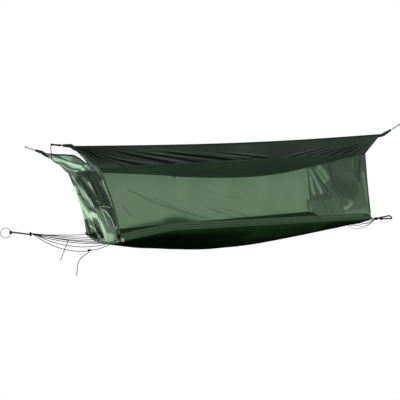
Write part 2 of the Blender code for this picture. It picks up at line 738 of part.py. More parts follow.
def make_head_lines():
    """Eight lines, the band at their crossing, the knot on the slackest and two cord ends."""
    for index in range(len(HEM_SHARES)):
        wire(f"head_line_{index + 1}", CORD, head_line_route(index), LINE_DIAMETER)
    band = turned_sleeve("head_crossing_band", CORD, KNOT_LENGTH, KNOT_DIAMETER / 2,
                         BUNDLE_RADIUS + 2 * GAP)
    band.location = (KNOT_X, 0.0, knot_height())
    band.rotation_euler = (0.0, radians(90), 0.0)
    slack = head_line_route(0)
    before, after = slack[8], slack[9]
    centre = mix_points(before, after, 0.5)
    bead = turned_sleeve("slack_line_knot", CORD, LINE_DIAMETER * 3, SLACK_KNOT_DIAMETER / 2,
                         LINE_RADIUS + GAP, steps=14)
    bead.location = centre
    bead.rotation_euler = (after - before).to_track_quat("Z", "Y").to_euler()
    clear = Vector((0.0, 0.0, SLACK_KNOT_DIAMETER / 2 + LINE_RADIUS))
    knot_end = [centre - clear + Vector(point) for point in KNOT_TAIL_ROUTE]
    wire("knot_cord_end", CORD, smooth_route(knot_end, LINE_DIAMETER * 3), LINE_DIAMETER)
    carrier = head_line_route(3)
    tied = mix_points(carrier[7], carrier[8], 0.3) - Vector((0.0, 0.0, LINE_RADIUS + GAP * 2))
    line_end = [tied + Vector(point) for point in HEAD_TAIL_ROUTE]
    wire("line_cord_end", CORD, smooth_route(line_end, LINE_DIAMETER * 3), LINE_DIAMETER)


def make_foot_lines():
    """Eight foot lines, the knot they end in and the doubled loop through it."""
    for index in range(len(HEM_SHARES)):
        wire(f"foot_line_{index + 1}", CORD, foot_line_route(index), LINE_DIAMETER)
    place = (FOOT_KNOT_X, 0.0, FOOT_KNOT_Z)
    knot = turned_sleeve("foot_knot", CORD, FOOT_BIGHT_LENGTH, FOOT_BIGHT_DIAMETER / 2,
                         LINE_RADIUS + LOOP_CLEARANCE)
    knot.location = place
    knot.rotation_euler = (radians(90), 0.0, 0.0)
    half = FOOT_LOOP_WIDTH / 2
    base = FOOT_BIGHT_LENGTH / 2 + LINE_DIAMETER
    points = [(0.0, -FOOT_BIGHT_LENGTH / 2, 0.0), (0.0, FOOT_BIGHT_LENGTH / 2, 0.0)]
    side = [(LINE_RADIUS, base, 0.0), (FOOT_BIGHT_DIAMETER, base, 0.0)]
    for share in (0.4, 0.6, 0.8):
        side.append((FOOT_LOOP_LENGTH * share, mix(base, half, share), FOOT_LOOP_TILT * share))
    points += side
    turn = FOOT_LOOP_LENGTH - half
    for index in range(5):
        angle = pi / 2 - pi * index / 4
        points.append((turn + half * cos(angle), half * sin(angle), FOOT_LOOP_TILT * sin(angle)))
    points += [(x, -y, -z) for x, y, z in reversed(side)]
    loop = wire("foot_loop", CORD, points, LINE_DIAMETER, closed=True)
    loop.location = place


# Zip slider and pulls, small fittings


def rim_slope():
    """The tilt of the zip's straight run, about +Y."""
    return atan2(RIM_CREST - RIM_FOOT_FRONT, BED_FOOT_X - CREST_X)


SLIDER_X = BED_FOOT_X - SLIDER_FROM_FOOT
ZIP_MID = WEBBING_HEIGHT / 2 + GAP + TAPE_HEIGHT + ZIP_SLOT / 2
BAIL_REACH = SLIDER_LENGTH * 0.4
PLATE_IN = TAPE_THICKNESS / 2 + GAP
PLATE_OUT = PLATE_IN + SLIDER_WALL


def add_block(shape, low, high):
    """Adds a box between two corners to a bmesh."""
    size = Vector(high) - Vector(low)
    place = Matrix.Translation((Vector(high) + Vector(low)) / 2)
    bmesh.ops.create_cube(shape, size=1.0, matrix=place @ Matrix.Diagonal((*size, 1.0)))


def joined(target, blocks):
    """Joins overlapping boxes to a target by unions, each box a cutter object."""
    for number, (low, high) in enumerate(blocks):
        shape = bmesh.new()
        add_block(shape, low, high)
        mesh = bpy.data.meshes.new(f"{target.name}_block_{number}")
        shape.to_mesh(mesh)
        shape.free()
        cutter = bpy.data.objects.new(mesh.name, mesh)
        CUTTERS.objects.link(cutter)
        cutter.parent = target
        cutter.hide_render = True
        cutter.display_type = "WIRE"
        union = target.modifiers.new(f"join_{number}", "BOOLEAN")
        union.operation = "UNION"
        union.object = cutter
    return target


def make_slider():
    """The slider: two plates joined through the zip's slot, with a bail on each face."""
    half_length = SLIDER_LENGTH / 2
    half_height = SLIDER_HEIGHT / 2
    post = ZIP_SLOT / 2 - GAP
    shape = bmesh.new()
    add_block(shape, (-half_length, -PLATE_OUT, -half_height),
              (half_length, -PLATE_IN, half_height))
    slider = mesh_object("zip_slider", shape, STEEL)
    blocks = [
        ((-half_length, PLATE_IN, -half_height), (half_length, PLATE_OUT, half_height)),
        ((half_length / 2, -PLATE_OUT + GAP, -post), (half_length - GAP, PLATE_OUT - GAP, post)),
    ]
    reach = PLATE_OUT + BAIL_ROOM
    end = BAIL_REACH
    sunk = SLIDER_WALL / 2
    for way in (-1, 1):
        near, far, wall = way * (PLATE_OUT - sunk), way * (reach + BAIL_WIRE), way * reach
        for x in (-end, end - BAIL_WIRE):
            low, high = sorted((near, far))
            blocks.append(((x, low, -BAIL_WIRE / 2), (x + BAIL_WIRE, high, BAIL_WIRE / 2)))
        low, high = sorted((wall, far))
        blocks.append(((GAP - end, low, -BAIL_WIRE * 0.45), (end - GAP, high, BAIL_WIRE * 0.45)))
    joined(slider, blocks)
    slider.location = (SLIDER_X, DOOR_Y, rim_front(SLIDER_X) + ZIP_MID)
    slider.rotation_euler = (0.0, rim_slope(), 0.0)
    for side, way in (("outer", -1), ("inner", 1)):
        make_pull(f"{side}_zip_pull", way)


def make_pull(name, way):
    """A pull: a bar held under the bail, two side arms and a long tongue, laid to the head."""
    bar = PULL_BAR / 2
    half = PULL_WIDTH / 2
    arm = PULL_THICKNESS / 2
    eye = BAIL_REACH + BAIL_WIRE
    shape = bmesh.new()
    add_block(shape, (-bar, -bar, -half), (bar, bar, half))
    pull = mesh_object(name, shape, STEEL)
    blocks = []
    for low, high in ((-half - GAP, -half + PULL_BAR), (half - PULL_BAR, half + GAP)):
        blocks.append(((-eye - PULL_BAR, -arm, low), (bar - GAP, arm, high)))
    blocks.append(((-PULL_LENGTH, -arm * 0.9, -half), (-eye, arm * 0.9, half)))
    joined(pull, blocks)
    y = DOOR_Y + way * (PLATE_OUT + BAIL_ROOM / 2)
    middle = rim_front(SLIDER_X) + ZIP_MID
    pull.location = (SLIDER_X, y, middle)
    pull.rotation_euler = (0.0, rim_slope(), 0.0)
    return pull


def make_zip():
    """The tape on the bed's side, the tape on the net's side, the slider and its pulls."""
    ends = HEM_RADIUS + GAP
    bottom = WEBBING_HEIGHT / 2 + GAP
    strip_along_rim("bed_side_zip_tape", ZIP_TAPE, rim_front, RING_TO_BED + ends, BED_FOOT_X - ends,
                    DOOR_Y, bottom, bottom + TAPE_HEIGHT, TAPE_THICKNESS)
    low = bottom + TAPE_HEIGHT + ZIP_SLOT
    reach = SLIDER_X - SLIDER_LENGTH / 2 - PULL_BAR
    start = RING_TO_BED + TAPE_HEIGHT + GAP
    strip_along_rim("net_side_zip_tape", ZIP_TAPE, rim_front, start, reach,
                    DOOR_Y, low, low + TAPE_HEIGHT, TAPE_THICKNESS)
    make_slider()


LABEL_SHARES = (0.985, 0.99, 1.0)
WALL_SHARES = (0.4, 0.5, 0.6, 0.7, 0.8, 0.9, 1.0)


def make_door_hinge():
    """An empty on the front seam, which the entry wall and its tape turn about."""
    middle = (SEAM_HEAD_X + SEAM_FOOT_X) / 2
    hinge = bpy.data.objects.new("entry_net_hinge", None)
    PARTS.objects.link(hinge)
    hinge.location = (middle, DOOR_Y, seam_height(middle, DOOR_Y) - SEAM_DROP)
    for name in ("front_net_wall", "net_side_zip_tape"):
        hang_from(bpy.data.objects[name], hinge)


def make_label():
    """The blank label, sewn in the foot-back corner and hanging inside."""
    x = corner_x(0.0, False) - FOOT_FOLD - LABEL_WIDTH - SHEET_GAP
    wall = min(back_place(u_share, v_share).y for u_share in LABEL_SHARES for v_share in WALL_SHARES)
    y = wall - SHEET_EDGE - LABEL_THICKNESS
    top = rim_back(BED_FOOT_X) + WEBBING_HEIGHT + LABEL_HEIGHT
    box("care_label", LABEL_CLOTH, (x, y, top - LABEL_HEIGHT),
        (x + LABEL_WIDTH, y + LABEL_THICKNESS, top))


def make_lamp_loop():
    """A tab under the ceiling, with a loop that hangs in it."""
    x = SEAM_HEAD_X + LAMP_FROM_HEAD
    half = LAMP_TAB_WIDTH / 2
    z = ceiling_height(x + half, 0.0) - ROOF_THICKNESS / 2 - CORNER_GAP
    shape = bmesh.new()
    deep = LAMP_TAB_THICKNESS / 2
    add_block(shape, (-half, -deep, -LAMP_TAB_HEIGHT), (half, deep, 0.0))
    tab = mesh_object("lamp_loop_tab", shape, WEBBING)
    tab.location = (x, 0.0, z)
    bpy.ops.mesh.primitive_cylinder_add(vertices=16, radius=LAMP_CORD / 2 + LOOP_CLEARANCE,
                                        depth=LAMP_TAB_WIDTH * 2, rotation=(0.0, radians(90), 0.0))
    bore = bpy.context.object
    bore.name = "lamp_tab_bore"
    for collection in list(bore.users_collection):
        collection.objects.unlink(bore)
    CUTTERS.objects.link(bore)
    bore.location = (x, 0.0, z - LAMP_TAB_HEIGHT * 0.6)
    bore.hide_render = True
    bore.display_type = "WIRE"
    cut = tab.modifiers.new("bore", "BOOLEAN")
    cut.operation = "DIFFERENCE"
    cut.object = bore
    across = LAMP_LOOP_WIDTH / 2
    points = [(-half, 0.0, 0.0), (half, 0.0, 0.0), (across, 0.0, -LAMP_CORD * 0.8)]
    low = LAMP_LOOP_HEIGHT - across
    for index in range(7):
        angle = -pi * index / 6
        points.append((across * cos(angle), 0.0, -low + across * sin(angle)))
    points.append((-across, 0.0, -LAMP_CORD * 0.8))
    loop = wire("lamp_loop", PALE_TAPE, points, LAMP_CORD, closed=True)
    loop.location = bore.location


def make_eyelet():
    """The pale eyelet sewn on the edge webbing at the head-front corner."""
    radius = (EYELET_DIAMETER - EYELET_WIRE) / 2
    y = DOOR_Y - WEBBING_THICKNESS / 2 - EYELET_WIRE / 2 - GAP
    bpy.ops.mesh.primitive_torus_add(major_radius=radius, minor_radius=EYELET_WIRE / 2,
                                     major_segments=24, minor_segments=8,
                                     rotation=(radians(90), 0.0, 0.0))
    eyelet = bpy.context.object
    x = RING_TO_BED + HEM_DIAMETER + EYELET_DIAMETER / 2
    eyelet.location = (x, y, rim_front(x))
    adopt(eyelet, "corner_eyelet", PALE_TAPE)


make_ring()
make_head_lines()
make_bed()
make_walls()
make_roof()
make_corner_ties()
make_foot_lines()
make_zip()
make_door_hinge()
make_label()
make_lamp_loop()
make_eyelet()
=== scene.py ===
"""Visual model of a hammock tent: cloth, net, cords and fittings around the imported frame.

Metres, +Z up. The origin is the centre of the head ring, +X runs from the head to the foot,
and -Y is the side with the zipped entry.
"""

import logging
from dataclasses import dataclass
from enum import Enum
from typing import Optional, Sequence

import bpy
import numpy as np
from mathutils import Matrix


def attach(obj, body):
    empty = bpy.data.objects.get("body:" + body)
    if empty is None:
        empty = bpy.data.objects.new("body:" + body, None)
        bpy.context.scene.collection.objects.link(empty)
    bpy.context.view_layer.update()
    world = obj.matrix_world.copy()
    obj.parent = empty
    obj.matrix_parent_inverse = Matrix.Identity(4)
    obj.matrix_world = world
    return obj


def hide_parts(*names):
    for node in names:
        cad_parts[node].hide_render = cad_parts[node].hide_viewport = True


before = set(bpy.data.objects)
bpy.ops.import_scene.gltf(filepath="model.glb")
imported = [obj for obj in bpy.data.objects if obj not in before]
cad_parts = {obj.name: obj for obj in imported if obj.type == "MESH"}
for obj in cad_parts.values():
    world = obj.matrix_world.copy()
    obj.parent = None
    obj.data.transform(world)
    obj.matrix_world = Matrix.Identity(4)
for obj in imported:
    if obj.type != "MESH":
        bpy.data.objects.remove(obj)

LOG = logging.getLogger("hammock_tent")
Points = np.ndarray
Colour = tuple[float, float, float]
Place = tuple[float, float, float]
Piece = bpy.types.Object
Node = bpy.types.Node
Socket = bpy.types.NodeSocket
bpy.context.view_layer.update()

# Sizes of the frame, repeated from the part's source
RING_TO_BED = 0.600
BED_LENGTH = 1.910
BED_WIDTH = 0.750
HALF_WIDTH = BED_WIDTH / 2
BED_FOOT_X = RING_TO_BED + BED_LENGTH
BED_MIDDLE_X = (RING_TO_BED + BED_FOOT_X) / 2
BED_SAG = 0.115
HEAD_HEM_SAG = 0.035
FOOT_HEM_SAG = 0.068
RIM_HEAD_FRONT = -0.087
RIM_HEAD_BACK = -0.068
RIM_FOOT_FRONT = -0.099
RIM_FOOT_BACK = -0.066
RIM_CREST = -0.049
CREST_FROM_HEAD = 0.400
CREST_X = RING_TO_BED + CREST_FROM_HEAD
NET_TOP_HEAD = 0.357
NET_TOP_FOOT_FRONT = 0.369
NET_TOP_FOOT_BACK = 0.312
HEAD_OVERHANG = 0.098
FOOT_INSET = 0.021
SEAM_HEAD_X = RING_TO_BED - HEAD_OVERHANG
SEAM_FOOT_X = BED_FOOT_X - FOOT_INSET
CEILING_SAG = 0.093
EAVE_REACH = 0.042
ROOF_HALF_WIDTH = HALF_WIDTH + EAVE_REACH
ROOF_HEAD_X = SEAM_HEAD_X - 0.160
ROOF_FOOT_X = SEAM_FOOT_X + 0.150
EAVE_HEAD = 0.488
EAVE_FOOT = 0.503
EAVE_SAG = 0.021
HEAD_BACK_LIFT = 0.024
HEAD_BACK_LIFT_LENGTH = 0.14
HEAD_EDGE_DIP = 0.098
HEAD_EDGE_PULL_IN = 0.145
FOOT_EDGE_DIP = 0.078
FOOT_EDGE_PULL_IN = 0.090
FLAP_SHARE = 0.08
EAVE_SHARE = 0.18
EAVE_FACE = 0.12
WEBBING_HEIGHT = 0.016
HEM_RADIUS = 0.0075
TAPE_HEIGHT = 0.014
ZIP_SLOT = 0.0014
GAP = 0.0003
DOOR_BOTTOM = WEBBING_HEIGHT / 2 + GAP + TAPE_HEIGHT + ZIP_SLOT + TAPE_HEIGHT + 0.0009
DOOR_TOP = 0.0029


def srgb(red: float, green: float, blue: float) -> Colour:
    """A screen colour, 0 to 255 a channel, as linear light.

    Args:
        red, green, blue: the channels.

    Returns:
        The colour, 0 to 1 a channel.
    """
    share = np.array([red, green, blue]) / 255.0
    low = share / 12.92
    high = ((share + 0.055) / 1.055) ** 2.4
    return tuple(float(value) for value in np.where(share <= 0.04045, low, high))


def mix(low: Points, high: Points, share: Points) -> Points:
    """The value a share of the way from low to high."""
    return low + (high - low) * share


def rise(low: float, high: float, value: Points) -> Points:
    """A smooth step: 0 below low, 1 above high, 3t2 - 2t3 between."""
    t = np.clip((value - low) / (high - low), 0.0, 1.0)
    return t * t * (3.0 - 2.0 * t)


def unit(vectors: Points) -> Points:
    """The vectors, each divided by its length."""
    return vectors / np.maximum(np.linalg.norm(vectors, axis=-1, keepdims=True), 1e-12)


def whole_turn(count: int) -> Points:
    """Angles spaced evenly round a circle."""
    return np.linspace(0.0, 2.0 * np.pi, count, endpoint=False)


def ripple(seed: int, count: int, low: float, high: float) -> Points:
    """Rows of (cycles along u, cycles along v, phase, weight) for a sum of sines, seeded.

    Args:
        seed: starts the draw.
        count: how many waves.
        low, high: the range of their cycles.

    Returns:
        One row for each wave.
    """
    source = np.random.default_rng(seed)
    cycles = source.uniform(low, high, count)
    turn = source.uniform(-0.6, 0.6, count)
    weight = (low / cycles) ** 0.8
    return np.stack([cycles * np.cos(turn), cycles * np.sin(turn),
                     source.uniform(0.0, 2.0 * np.pi, count), weight / weight.sum()], axis=1)


def sum_of_sines(rows: Points, u: Points, v: Points) -> Points:
    """The weighted sum of sin(2 pi (a u + b v) + phase) over the rows."""
    wave = 2.0 * np.pi * (rows[:, 0] * u[..., None] + rows[:, 1] * v[..., None]) + rows[:, 2]
    return (rows[:, 3] * np.sin(wave)).sum(axis=-1)


# The edges that the cloth meets at, as the part's source has them


def rim_front(x: Points) -> Points:
    """Front edge: straight from the foot to the crest, then falling as past**1.4 to the head.

    Args:
        x: places along the bed.

    Returns:
        The edge's height.
    """
    slope = (RIM_CREST - RIM_FOOT_FRONT) / (BED_FOOT_X - CREST_X)
    line = RIM_FOOT_FRONT + (BED_FOOT_X - x) * slope
    past = np.maximum(0.0, (CREST_X - x) / CREST_FROM_HEAD)
    drop = RIM_FOOT_FRONT + BED_LENGTH * slope - RIM_HEAD_FRONT
    return line - drop * past ** 1.4


def rim_back(x: Points) -> Points:
    """Back edge: a straight line from corner to corner."""
    return mix(RIM_HEAD_BACK, RIM_FOOT_BACK, (x - RING_TO_BED) / BED_LENGTH)


def hem_height(y: Points, head: bool) -> Points:
    """An end hem: the line between its corners less a parabola of the hem's sag.

    Args:
        y: places across the bed.
        head: True at the head's end.

    Returns:
        The hem's height.
    """
    across = (y + HALF_WIDTH) / BED_WIDTH
    front, back = (RIM_HEAD_FRONT, RIM_HEAD_BACK) if head else (RIM_FOOT_FRONT, RIM_FOOT_BACK)
    sag = HEAD_HEM_SAG if head else FOOT_HEM_SAG
    return mix(front, back, across) - sag * 4.0 * across * (1.0 - across)


def corner_x(z: Points, head: bool) -> Points:
    """x of an end wall: the head bows inwards as a quarter sine, the foot as down squared.

    Args:
        z: heights.
        head: True at the head's end.

    Returns:
        The wall's x.
    """
    top = NET_TOP_HEAD if head else NET_TOP_FOOT_FRONT
    bottom = RIM_HEAD_FRONT if head else RIM_FOOT_FRONT
    down = np.clip((top - z) / (top - bottom), 0.0, 1.0)
    if head:
        return SEAM_HEAD_X + HEAD_OVERHANG * np.sin(np.pi / 2.0 * down)
    return SEAM_FOOT_X + FOOT_INSET * down ** 2


def seam_height(x: Points, y: Points) -> Points:
    """Height of the seam of roof and nets, linear along and across."""
    foot = mix(NET_TOP_FOOT_FRONT, NET_TOP_FOOT_BACK, (y + HALF_WIDTH) / BED_WIDTH)
    return mix(NET_TOP_HEAD, foot, (x - SEAM_HEAD_X) / (SEAM_FOOT_X - SEAM_HEAD_X))


def ceiling_height(x: Points, y: Points) -> Points:
    """The seam less the ceiling's sag, a skewed sine along and a parabola across.

    Args:
        x, y: places along and across.

    Returns:
        The ceiling's height.
    """
    along = np.clip((x - SEAM_HEAD_X) / (SEAM_FOOT_X - SEAM_HEAD_X), 0.0, 1.0)
    across = np.minimum(1.0, np.abs(y) / HALF_WIDTH)
    return seam_height(x, y) - CEILING_SAG * np.sin(np.pi * along ** 1.36) * (1.0 - across ** 2)


def eave_height(x: Points, across: Points = 0.0) -> Points:
    """The roof's long edges: a line less a half sine, with the head-back corner lifted.

    Args:
        x: places along the roof.
        across: 0 at its front edge, 1 at its back.

    Returns:
        The eave's height.
    """
    along = (x - ROOF_HEAD_X) / (ROOF_FOOT_X - ROOF_HEAD_X)
    lift = HEAD_BACK_LIFT * np.maximum(0.0, 2.0 * np.asarray(across) - 1.0)
    lift = lift * np.exp((ROOF_HEAD_X - x) / HEAD_BACK_LIFT_LENGTH)
    sag = EAVE_SAG * np.sin(np.pi * np.clip(along, 0.0, 1.0))
    return mix(EAVE_HEAD, EAVE_FOOT, along) - sag + lift


# Mesh making


def quads(rows: int, columns: int, wrap_rows: bool = False, wrap_columns: bool = False) -> Points:
    """The four corner numbers of each cell of a grid, counted row by row.

    Args:
        rows, columns: the grid's size.
        wrap_rows, wrap_columns: True where that way closes on itself.

    Returns:
        Corner numbers, four to a face.
    """
    row = np.arange(rows if wrap_rows else rows - 1)[:, None]
    column = np.arange(columns if wrap_columns else columns - 1)[None, :]
    below, right = (row + 1) % rows, (column + 1) % columns
    cells = np.stack(np.broadcast_arrays(row * columns + column, row * columns + right,
                                         below * columns + right, below * columns + column), -1)
    return cells.reshape(-1, 4)


def make_mesh(name: str, points: Points, faces: Sequence, uv: Optional[Points] = None,
              marks: Optional[dict[str, Points]] = None) -> Piece:
    """A smooth mesh object at the origin.

    Args:
        name: its name.
        points: corners, n by 3.
        faces: corner numbers of each face.
        uv: a place on the cloth for each corner, in metres.
        marks: named shares for each corner, which the materials read.

    Returns:
        The object, linked to the scene.
    """
    mesh = bpy.data.meshes.new(name)
    listed = faces.tolist() if isinstance(faces, np.ndarray) else list(faces)
    mesh.from_pydata(points.reshape(-1, 3).tolist(), [], listed)
    if uv is not None:
        layer = mesh.uv_layers.new(name="cloth")
        corner = np.empty(len(mesh.loops), dtype=np.int64)
        mesh.loops.foreach_get("vertex_index", corner)
        layer.data.foreach_set("uv", uv.reshape(-1, 2)[corner].astype(np.float32).ravel())
    plain = {"tone": np.full(len(mesh.vertices), 0.5)}
    for label, values in {**plain, **(marks or {})}.items():
        attribute = mesh.attributes.new(label, "FLOAT", "POINT")
        attribute.data.foreach_set("value", values.astype(np.float32).ravel())
    mesh.validate()
    mesh.shade_smooth()
    obj = bpy.data.objects.new(name, mesh)
    bpy.context.scene.collection.objects.link(obj)
    return obj


def thicken(obj: Piece, thickness: float, inner_side: bool) -> None:
    """Gives a cloth its thickness, half to each side; an inner side shows its second material.

    Args:
        obj: the cloth.
        thickness: its thickness, in metres.
        inner_side: True where the piece has a second material.
    """
    wall = obj.modifiers.new("thickness", "SOLIDIFY")
    wall.thickness = thickness
    wall.offset = 0.0
    if inner_side:
        wall.material_offset = 1


def metres_along(path: Points) -> Points:
    """How far each point of a path is from its start: the running sum of its steps."""
    return np.concatenate([[0.0], np.cumsum(np.linalg.norm(np.diff(path, axis=0), axis=1))])


def circle(centre: Sequence[float], radius: float, count: int) -> Points:
    """A circle in an upright plane along the tent: x + r cos a, y, z + r sin a."""
    turn = whole_turn(count)
    return np.asarray(centre) + radius * np.stack([np.cos(turn), 0.0 * turn, np.sin(turn)], axis=1)


def tube(name: str, path: Points, radius: Points, sides: int = 10, ring: bool = False,
         upright: Sequence[float] = (0.0, 0.0, 1.0)) -> Piece:
    """A round tube: circles of the radius, each square to the path's direction.

    Args:
        name: its name.
        path: the centreline, n by 3.
        radius: one radius, or one for each point.
        sides: corners of each circle.
        ring: True where the path closes on itself.
        upright: a direction that the path never follows.

    Returns:
        The object; its UV is (turn, metres along).
    """
    if ring:
        ahead = np.roll(path, -1, axis=0) - np.roll(path, 1, axis=0)
    else:
        ahead = np.gradient(path, axis=0)
    ahead = unit(ahead)
    side = unit(np.cross(np.asarray(upright, dtype=float), ahead))
    over = np.cross(ahead, side)
    angle = whole_turn(sides)
    size = np.broadcast_to(np.asarray(radius, dtype=float), (len(path),))[:, None, None]
    out = np.cos(angle)[None, :, None] * side[:, None]
    out = out + np.sin(angle)[None, :, None] * over[:, None]
    points = path[:, None] + size * out
    faces = quads(len(path), sides, wrap_rows=ring, wrap_columns=True)
    along = metres_along(path)
    uv = np.stack(np.broadcast_arrays(angle[None, :] / (2.0 * np.pi), along[:, None]), axis=-1)
    points, uv = points.reshape(-1, 3), uv.reshape(-1, 2)
    listed = faces.tolist()
    if not ring:
        start, end = len(points), len(points) + 1
        points = np.vstack([points, path[:1], path[-1:]])
        uv = np.vstack([uv, [[0.5, 0.0]], [[0.5, along[-1]]]])
        turn = np.arange(sides)
        after = (turn + 1) % sides
        last = (len(path) - 1) * sides
        listed += np.stack([np.full(sides, start), turn, after], 1)[:, ::-1].tolist()
        listed += np.stack([np.full(sides, end), last + after, last + turn], 1)[:, ::-1].tolist()
    return make_mesh(name, points, listed, uv)


def blocks(name: str, centres: Points, along: Points, across: Points,
           size: Sequence[float]) -> Piece:
    """Many small eight-cornered blocks in one mesh, such as stitches or zip teeth.

    Args:
        name: its name.
        centres: the blocks' centres, n by 3.
        along: the direction of each block's length.
        across: the direction of each block's width.
        size: length, width and height.

    Returns:
        The object.
    """
    along, across = unit(along), unit(across)
    across = unit(across - (across * along).sum(axis=1, keepdims=True) * along)
    height = np.cross(along, across)
    signs = np.array([[-1, -1, -1], [1, -1, -1], [1, 1, -1], [-1, 1, -1],
                      [-1, -1, 1], [1, -1, 1], [1, 1, 1], [-1, 1, 1]]) * 0.5
    shape = signs * np.asarray(size)
    frames = np.stack([along, across, height], axis=1)
    corners = centres[:, None] + np.einsum("kc,ncd->nkd", shape, frames)
    box = np.array([[0, 3, 2, 1], [4, 5, 6, 7], [0, 1, 5, 4], [1, 2, 6, 5], [2, 3, 7, 6], [3, 0, 4, 7]])
    faces = (box[None] + 8 * np.arange(len(centres))[:, None, None]).reshape(-1, 4)
    obj = make_mesh(name, corners, faces)
    obj.data.shade_flat()
    return obj


def merge(pieces: Sequence[Piece], name: str) -> Piece:
    """Joins pieces into the first one and names it.

    Args:
        pieces: the objects to join.
        name: the joined piece's name.

    Returns:
        The joined object.
    """
    with bpy.context.temp_override(active_object=pieces[0], object=pieces[0],
                                   selected_editable_objects=list(pieces),
                                   selected_objects=list(pieces)):
        bpy.ops.object.join()
    pieces[0].name = name
    pieces[0].data.name = name
    return pieces[0]


def tint(obj: Piece, tone: Points) -> None:
    """Marks the tone of a tube's corners, circle by circle; its caps keep the last."""
    values = np.append(tone, np.full(len(obj.data.vertices) - len(tone), tone[-1]))
    obj.data.attributes["tone"].data.foreach_set("value", values.astype(np.float32))


def spaced(path: Points, pitch: float) -> tuple[Points, Points]:
    """Points a pitch apart along a path, and its direction at each.

    Args:
        path: the line, n by 3.
        pitch: from one point to the next.

    Returns:
        The points and the directions.
    """
    along = metres_along(path)
    stops = np.arange(pitch / 2.0, along[-1], pitch)
    places = np.stack([np.interp(stops, along, path[:, axis]) for axis in range(3)], axis=1)
    ahead = np.gradient(path, axis=0)
    ways = np.stack([np.interp(stops, along, ahead[:, axis]) for axis in range(3)], axis=1)
    return places, unit(ways)


def smooth_path(points: Sequence, step: float) -> Points:
    """A Catmull-Rom curve through the points, sampled about a step apart.

    Between two points it is half of 2b + (c-a)t + (2a-5b+4c-d)t2 + (3b-a-3c+d)t3.

    Args:
        points: the places to pass through.
        step: from one sample to the next, about.

    Returns:
        The curve, n by 3.
    """
    given = np.asarray(points, dtype=float)
    given = np.vstack([2.0 * given[0] - given[1], given, 2.0 * given[-1] - given[-2]])
    spans = []
    for first, start, end, last in zip(given, given[1:], given[2:], given[3:]):
        count = max(1, round(float(np.linalg.norm(end - start)) / step))
        t = (np.arange(count) / count)[:, None]
        spans.append((2.0 * start + (end - first) * t
                      + (2.0 * first - 5.0 * start + 4.0 * end - last) * t ** 2
                      + (3.0 * start - first - 3.0 * end + last) * t ** 3) / 2.0)
    return np.vstack(spans + [given[-2:-1]])


# Finishes


class Pattern(Enum):
    """What a finish's surface is made of."""

    WOVEN = "woven"
    MESH = "mesh"
    BRAID = "braid"
    METAL = "metal"


class Tree:
    """A node tree that is put together in code."""

    def __init__(self, tree: bpy.types.NodeTree) -> None:
        """Takes the tree that the nodes go into."""
        self.tree = tree

    def add(self, kind: str, inputs: Optional[dict] = None, **settings: object) -> Node:
        """Adds a node; an input is a value, or the output socket that feeds it.

        Args:
            kind: the node's type.
            inputs: values or sockets by input.
            settings: the node's other properties.

        Returns:
            The node.
        """
        made = self.tree.nodes.new(kind)
        for key, value in settings.items():
            setattr(made, key, value)
        for key, value in (inputs or {}).items():
            if isinstance(value, Socket):
                self.tree.links.new(value, made.inputs[key])
            else:
                made.inputs[key].default_value = value
        return made

    def math(self, operation: str, first: Socket | float, second: Socket | float = 0.0,
             third: float = 0.0, clamp: bool = False) -> Socket:
        """The output of a Math node."""
        return self.add("ShaderNodeMath", {0: first, 1: second, 2: third}, operation=operation,
                        use_clamp=clamp).outputs[0]

    def blend(self, share: Socket, low: Colour, high: Colour) -> Socket:
        """The colour a share of the way from low to high, two screen colours."""
        return self.add("ShaderNodeMix", {0: share, 6: (*srgb(*low), 1.0),
                                          7: (*srgb(*high), 1.0)}, data_type="RGBA").outputs[2]

    def seen(self) -> Socket:
        """1 where white shows: on rays from the camera, in gloss and through glass."""
        rays = self.add("ShaderNodeLightPath").outputs
        return self.math("MAXIMUM", rays["Is Camera Ray"], self.math(
            "MAXIMUM", rays["Is Glossy Ray"], rays["Is Transmission Ray"]))

    def link(self, value: Socket, node: Node, name: str) -> None:
        """Feeds an output to a node's named input."""
        self.tree.links.new(value, node.inputs[name])


def new_group(name: str, inputs: dict[str, tuple[str, float]],
              output: str) -> tuple[bpy.types.NodeTree, Tree, Node, Node]:
    """An empty shader node group with named inputs and one float output.

    Args:
        name: the group's name.
        inputs: socket type and default by name.
        output: the output's name.

    Returns:
        The group, its tree, and its input and output nodes.
    """
    group = bpy.data.node_groups.new(name, "ShaderNodeTree")
    for label, (kind, value) in inputs.items():
        socket = group.interface.new_socket(label, in_out="INPUT", socket_type=kind)
        if kind == "NodeSocketFloat":
            socket.default_value = value
    group.interface.new_socket(output, in_out="OUTPUT", socket_type="NodeSocketFloat")
    tree = Tree(group)
    return group, tree, tree.add("NodeGroupInput"), tree.add("NodeGroupOutput")


def weave_group() -> bpy.types.NodeTree:
    """Threads over and under: two crossing bands, each masked by a checker, added up.

    Returns:
        The group.
    """
    group, tree, start, end = new_group(
        "weave", {"Vector": ("NodeSocketVector", 0.0), "Threads": ("NodeSocketFloat", 1000.0)},
        "Height")
    scaled = tree.add("ShaderNodeVectorMath", {0: start.outputs["Vector"]}, operation="SCALE")
    tree.link(start.outputs["Threads"], scaled, "Scale")
    split = tree.add("ShaderNodeSeparateXYZ", {0: scaled.outputs[0]})
    warp = tree.math("ABSOLUTE", tree.math("SINE", tree.math("MULTIPLY", split.outputs[0], np.pi)))
    weft = tree.math("ABSOLUTE", tree.math("SINE", tree.math("MULTIPLY", split.outputs[1], np.pi)))
    checker = tree.add("ShaderNodeTexChecker", {"Vector": scaled.outputs[0], "Scale": 1.0})
    over = tree.math("MULTIPLY", warp, checker.outputs["Fac"])
    under = tree.math("MULTIPLY", weft, tree.math("SUBTRACT", 1.0, checker.outputs["Fac"]))
    tree.link(tree.math("ADD", over, under), end, "Height")
    return group


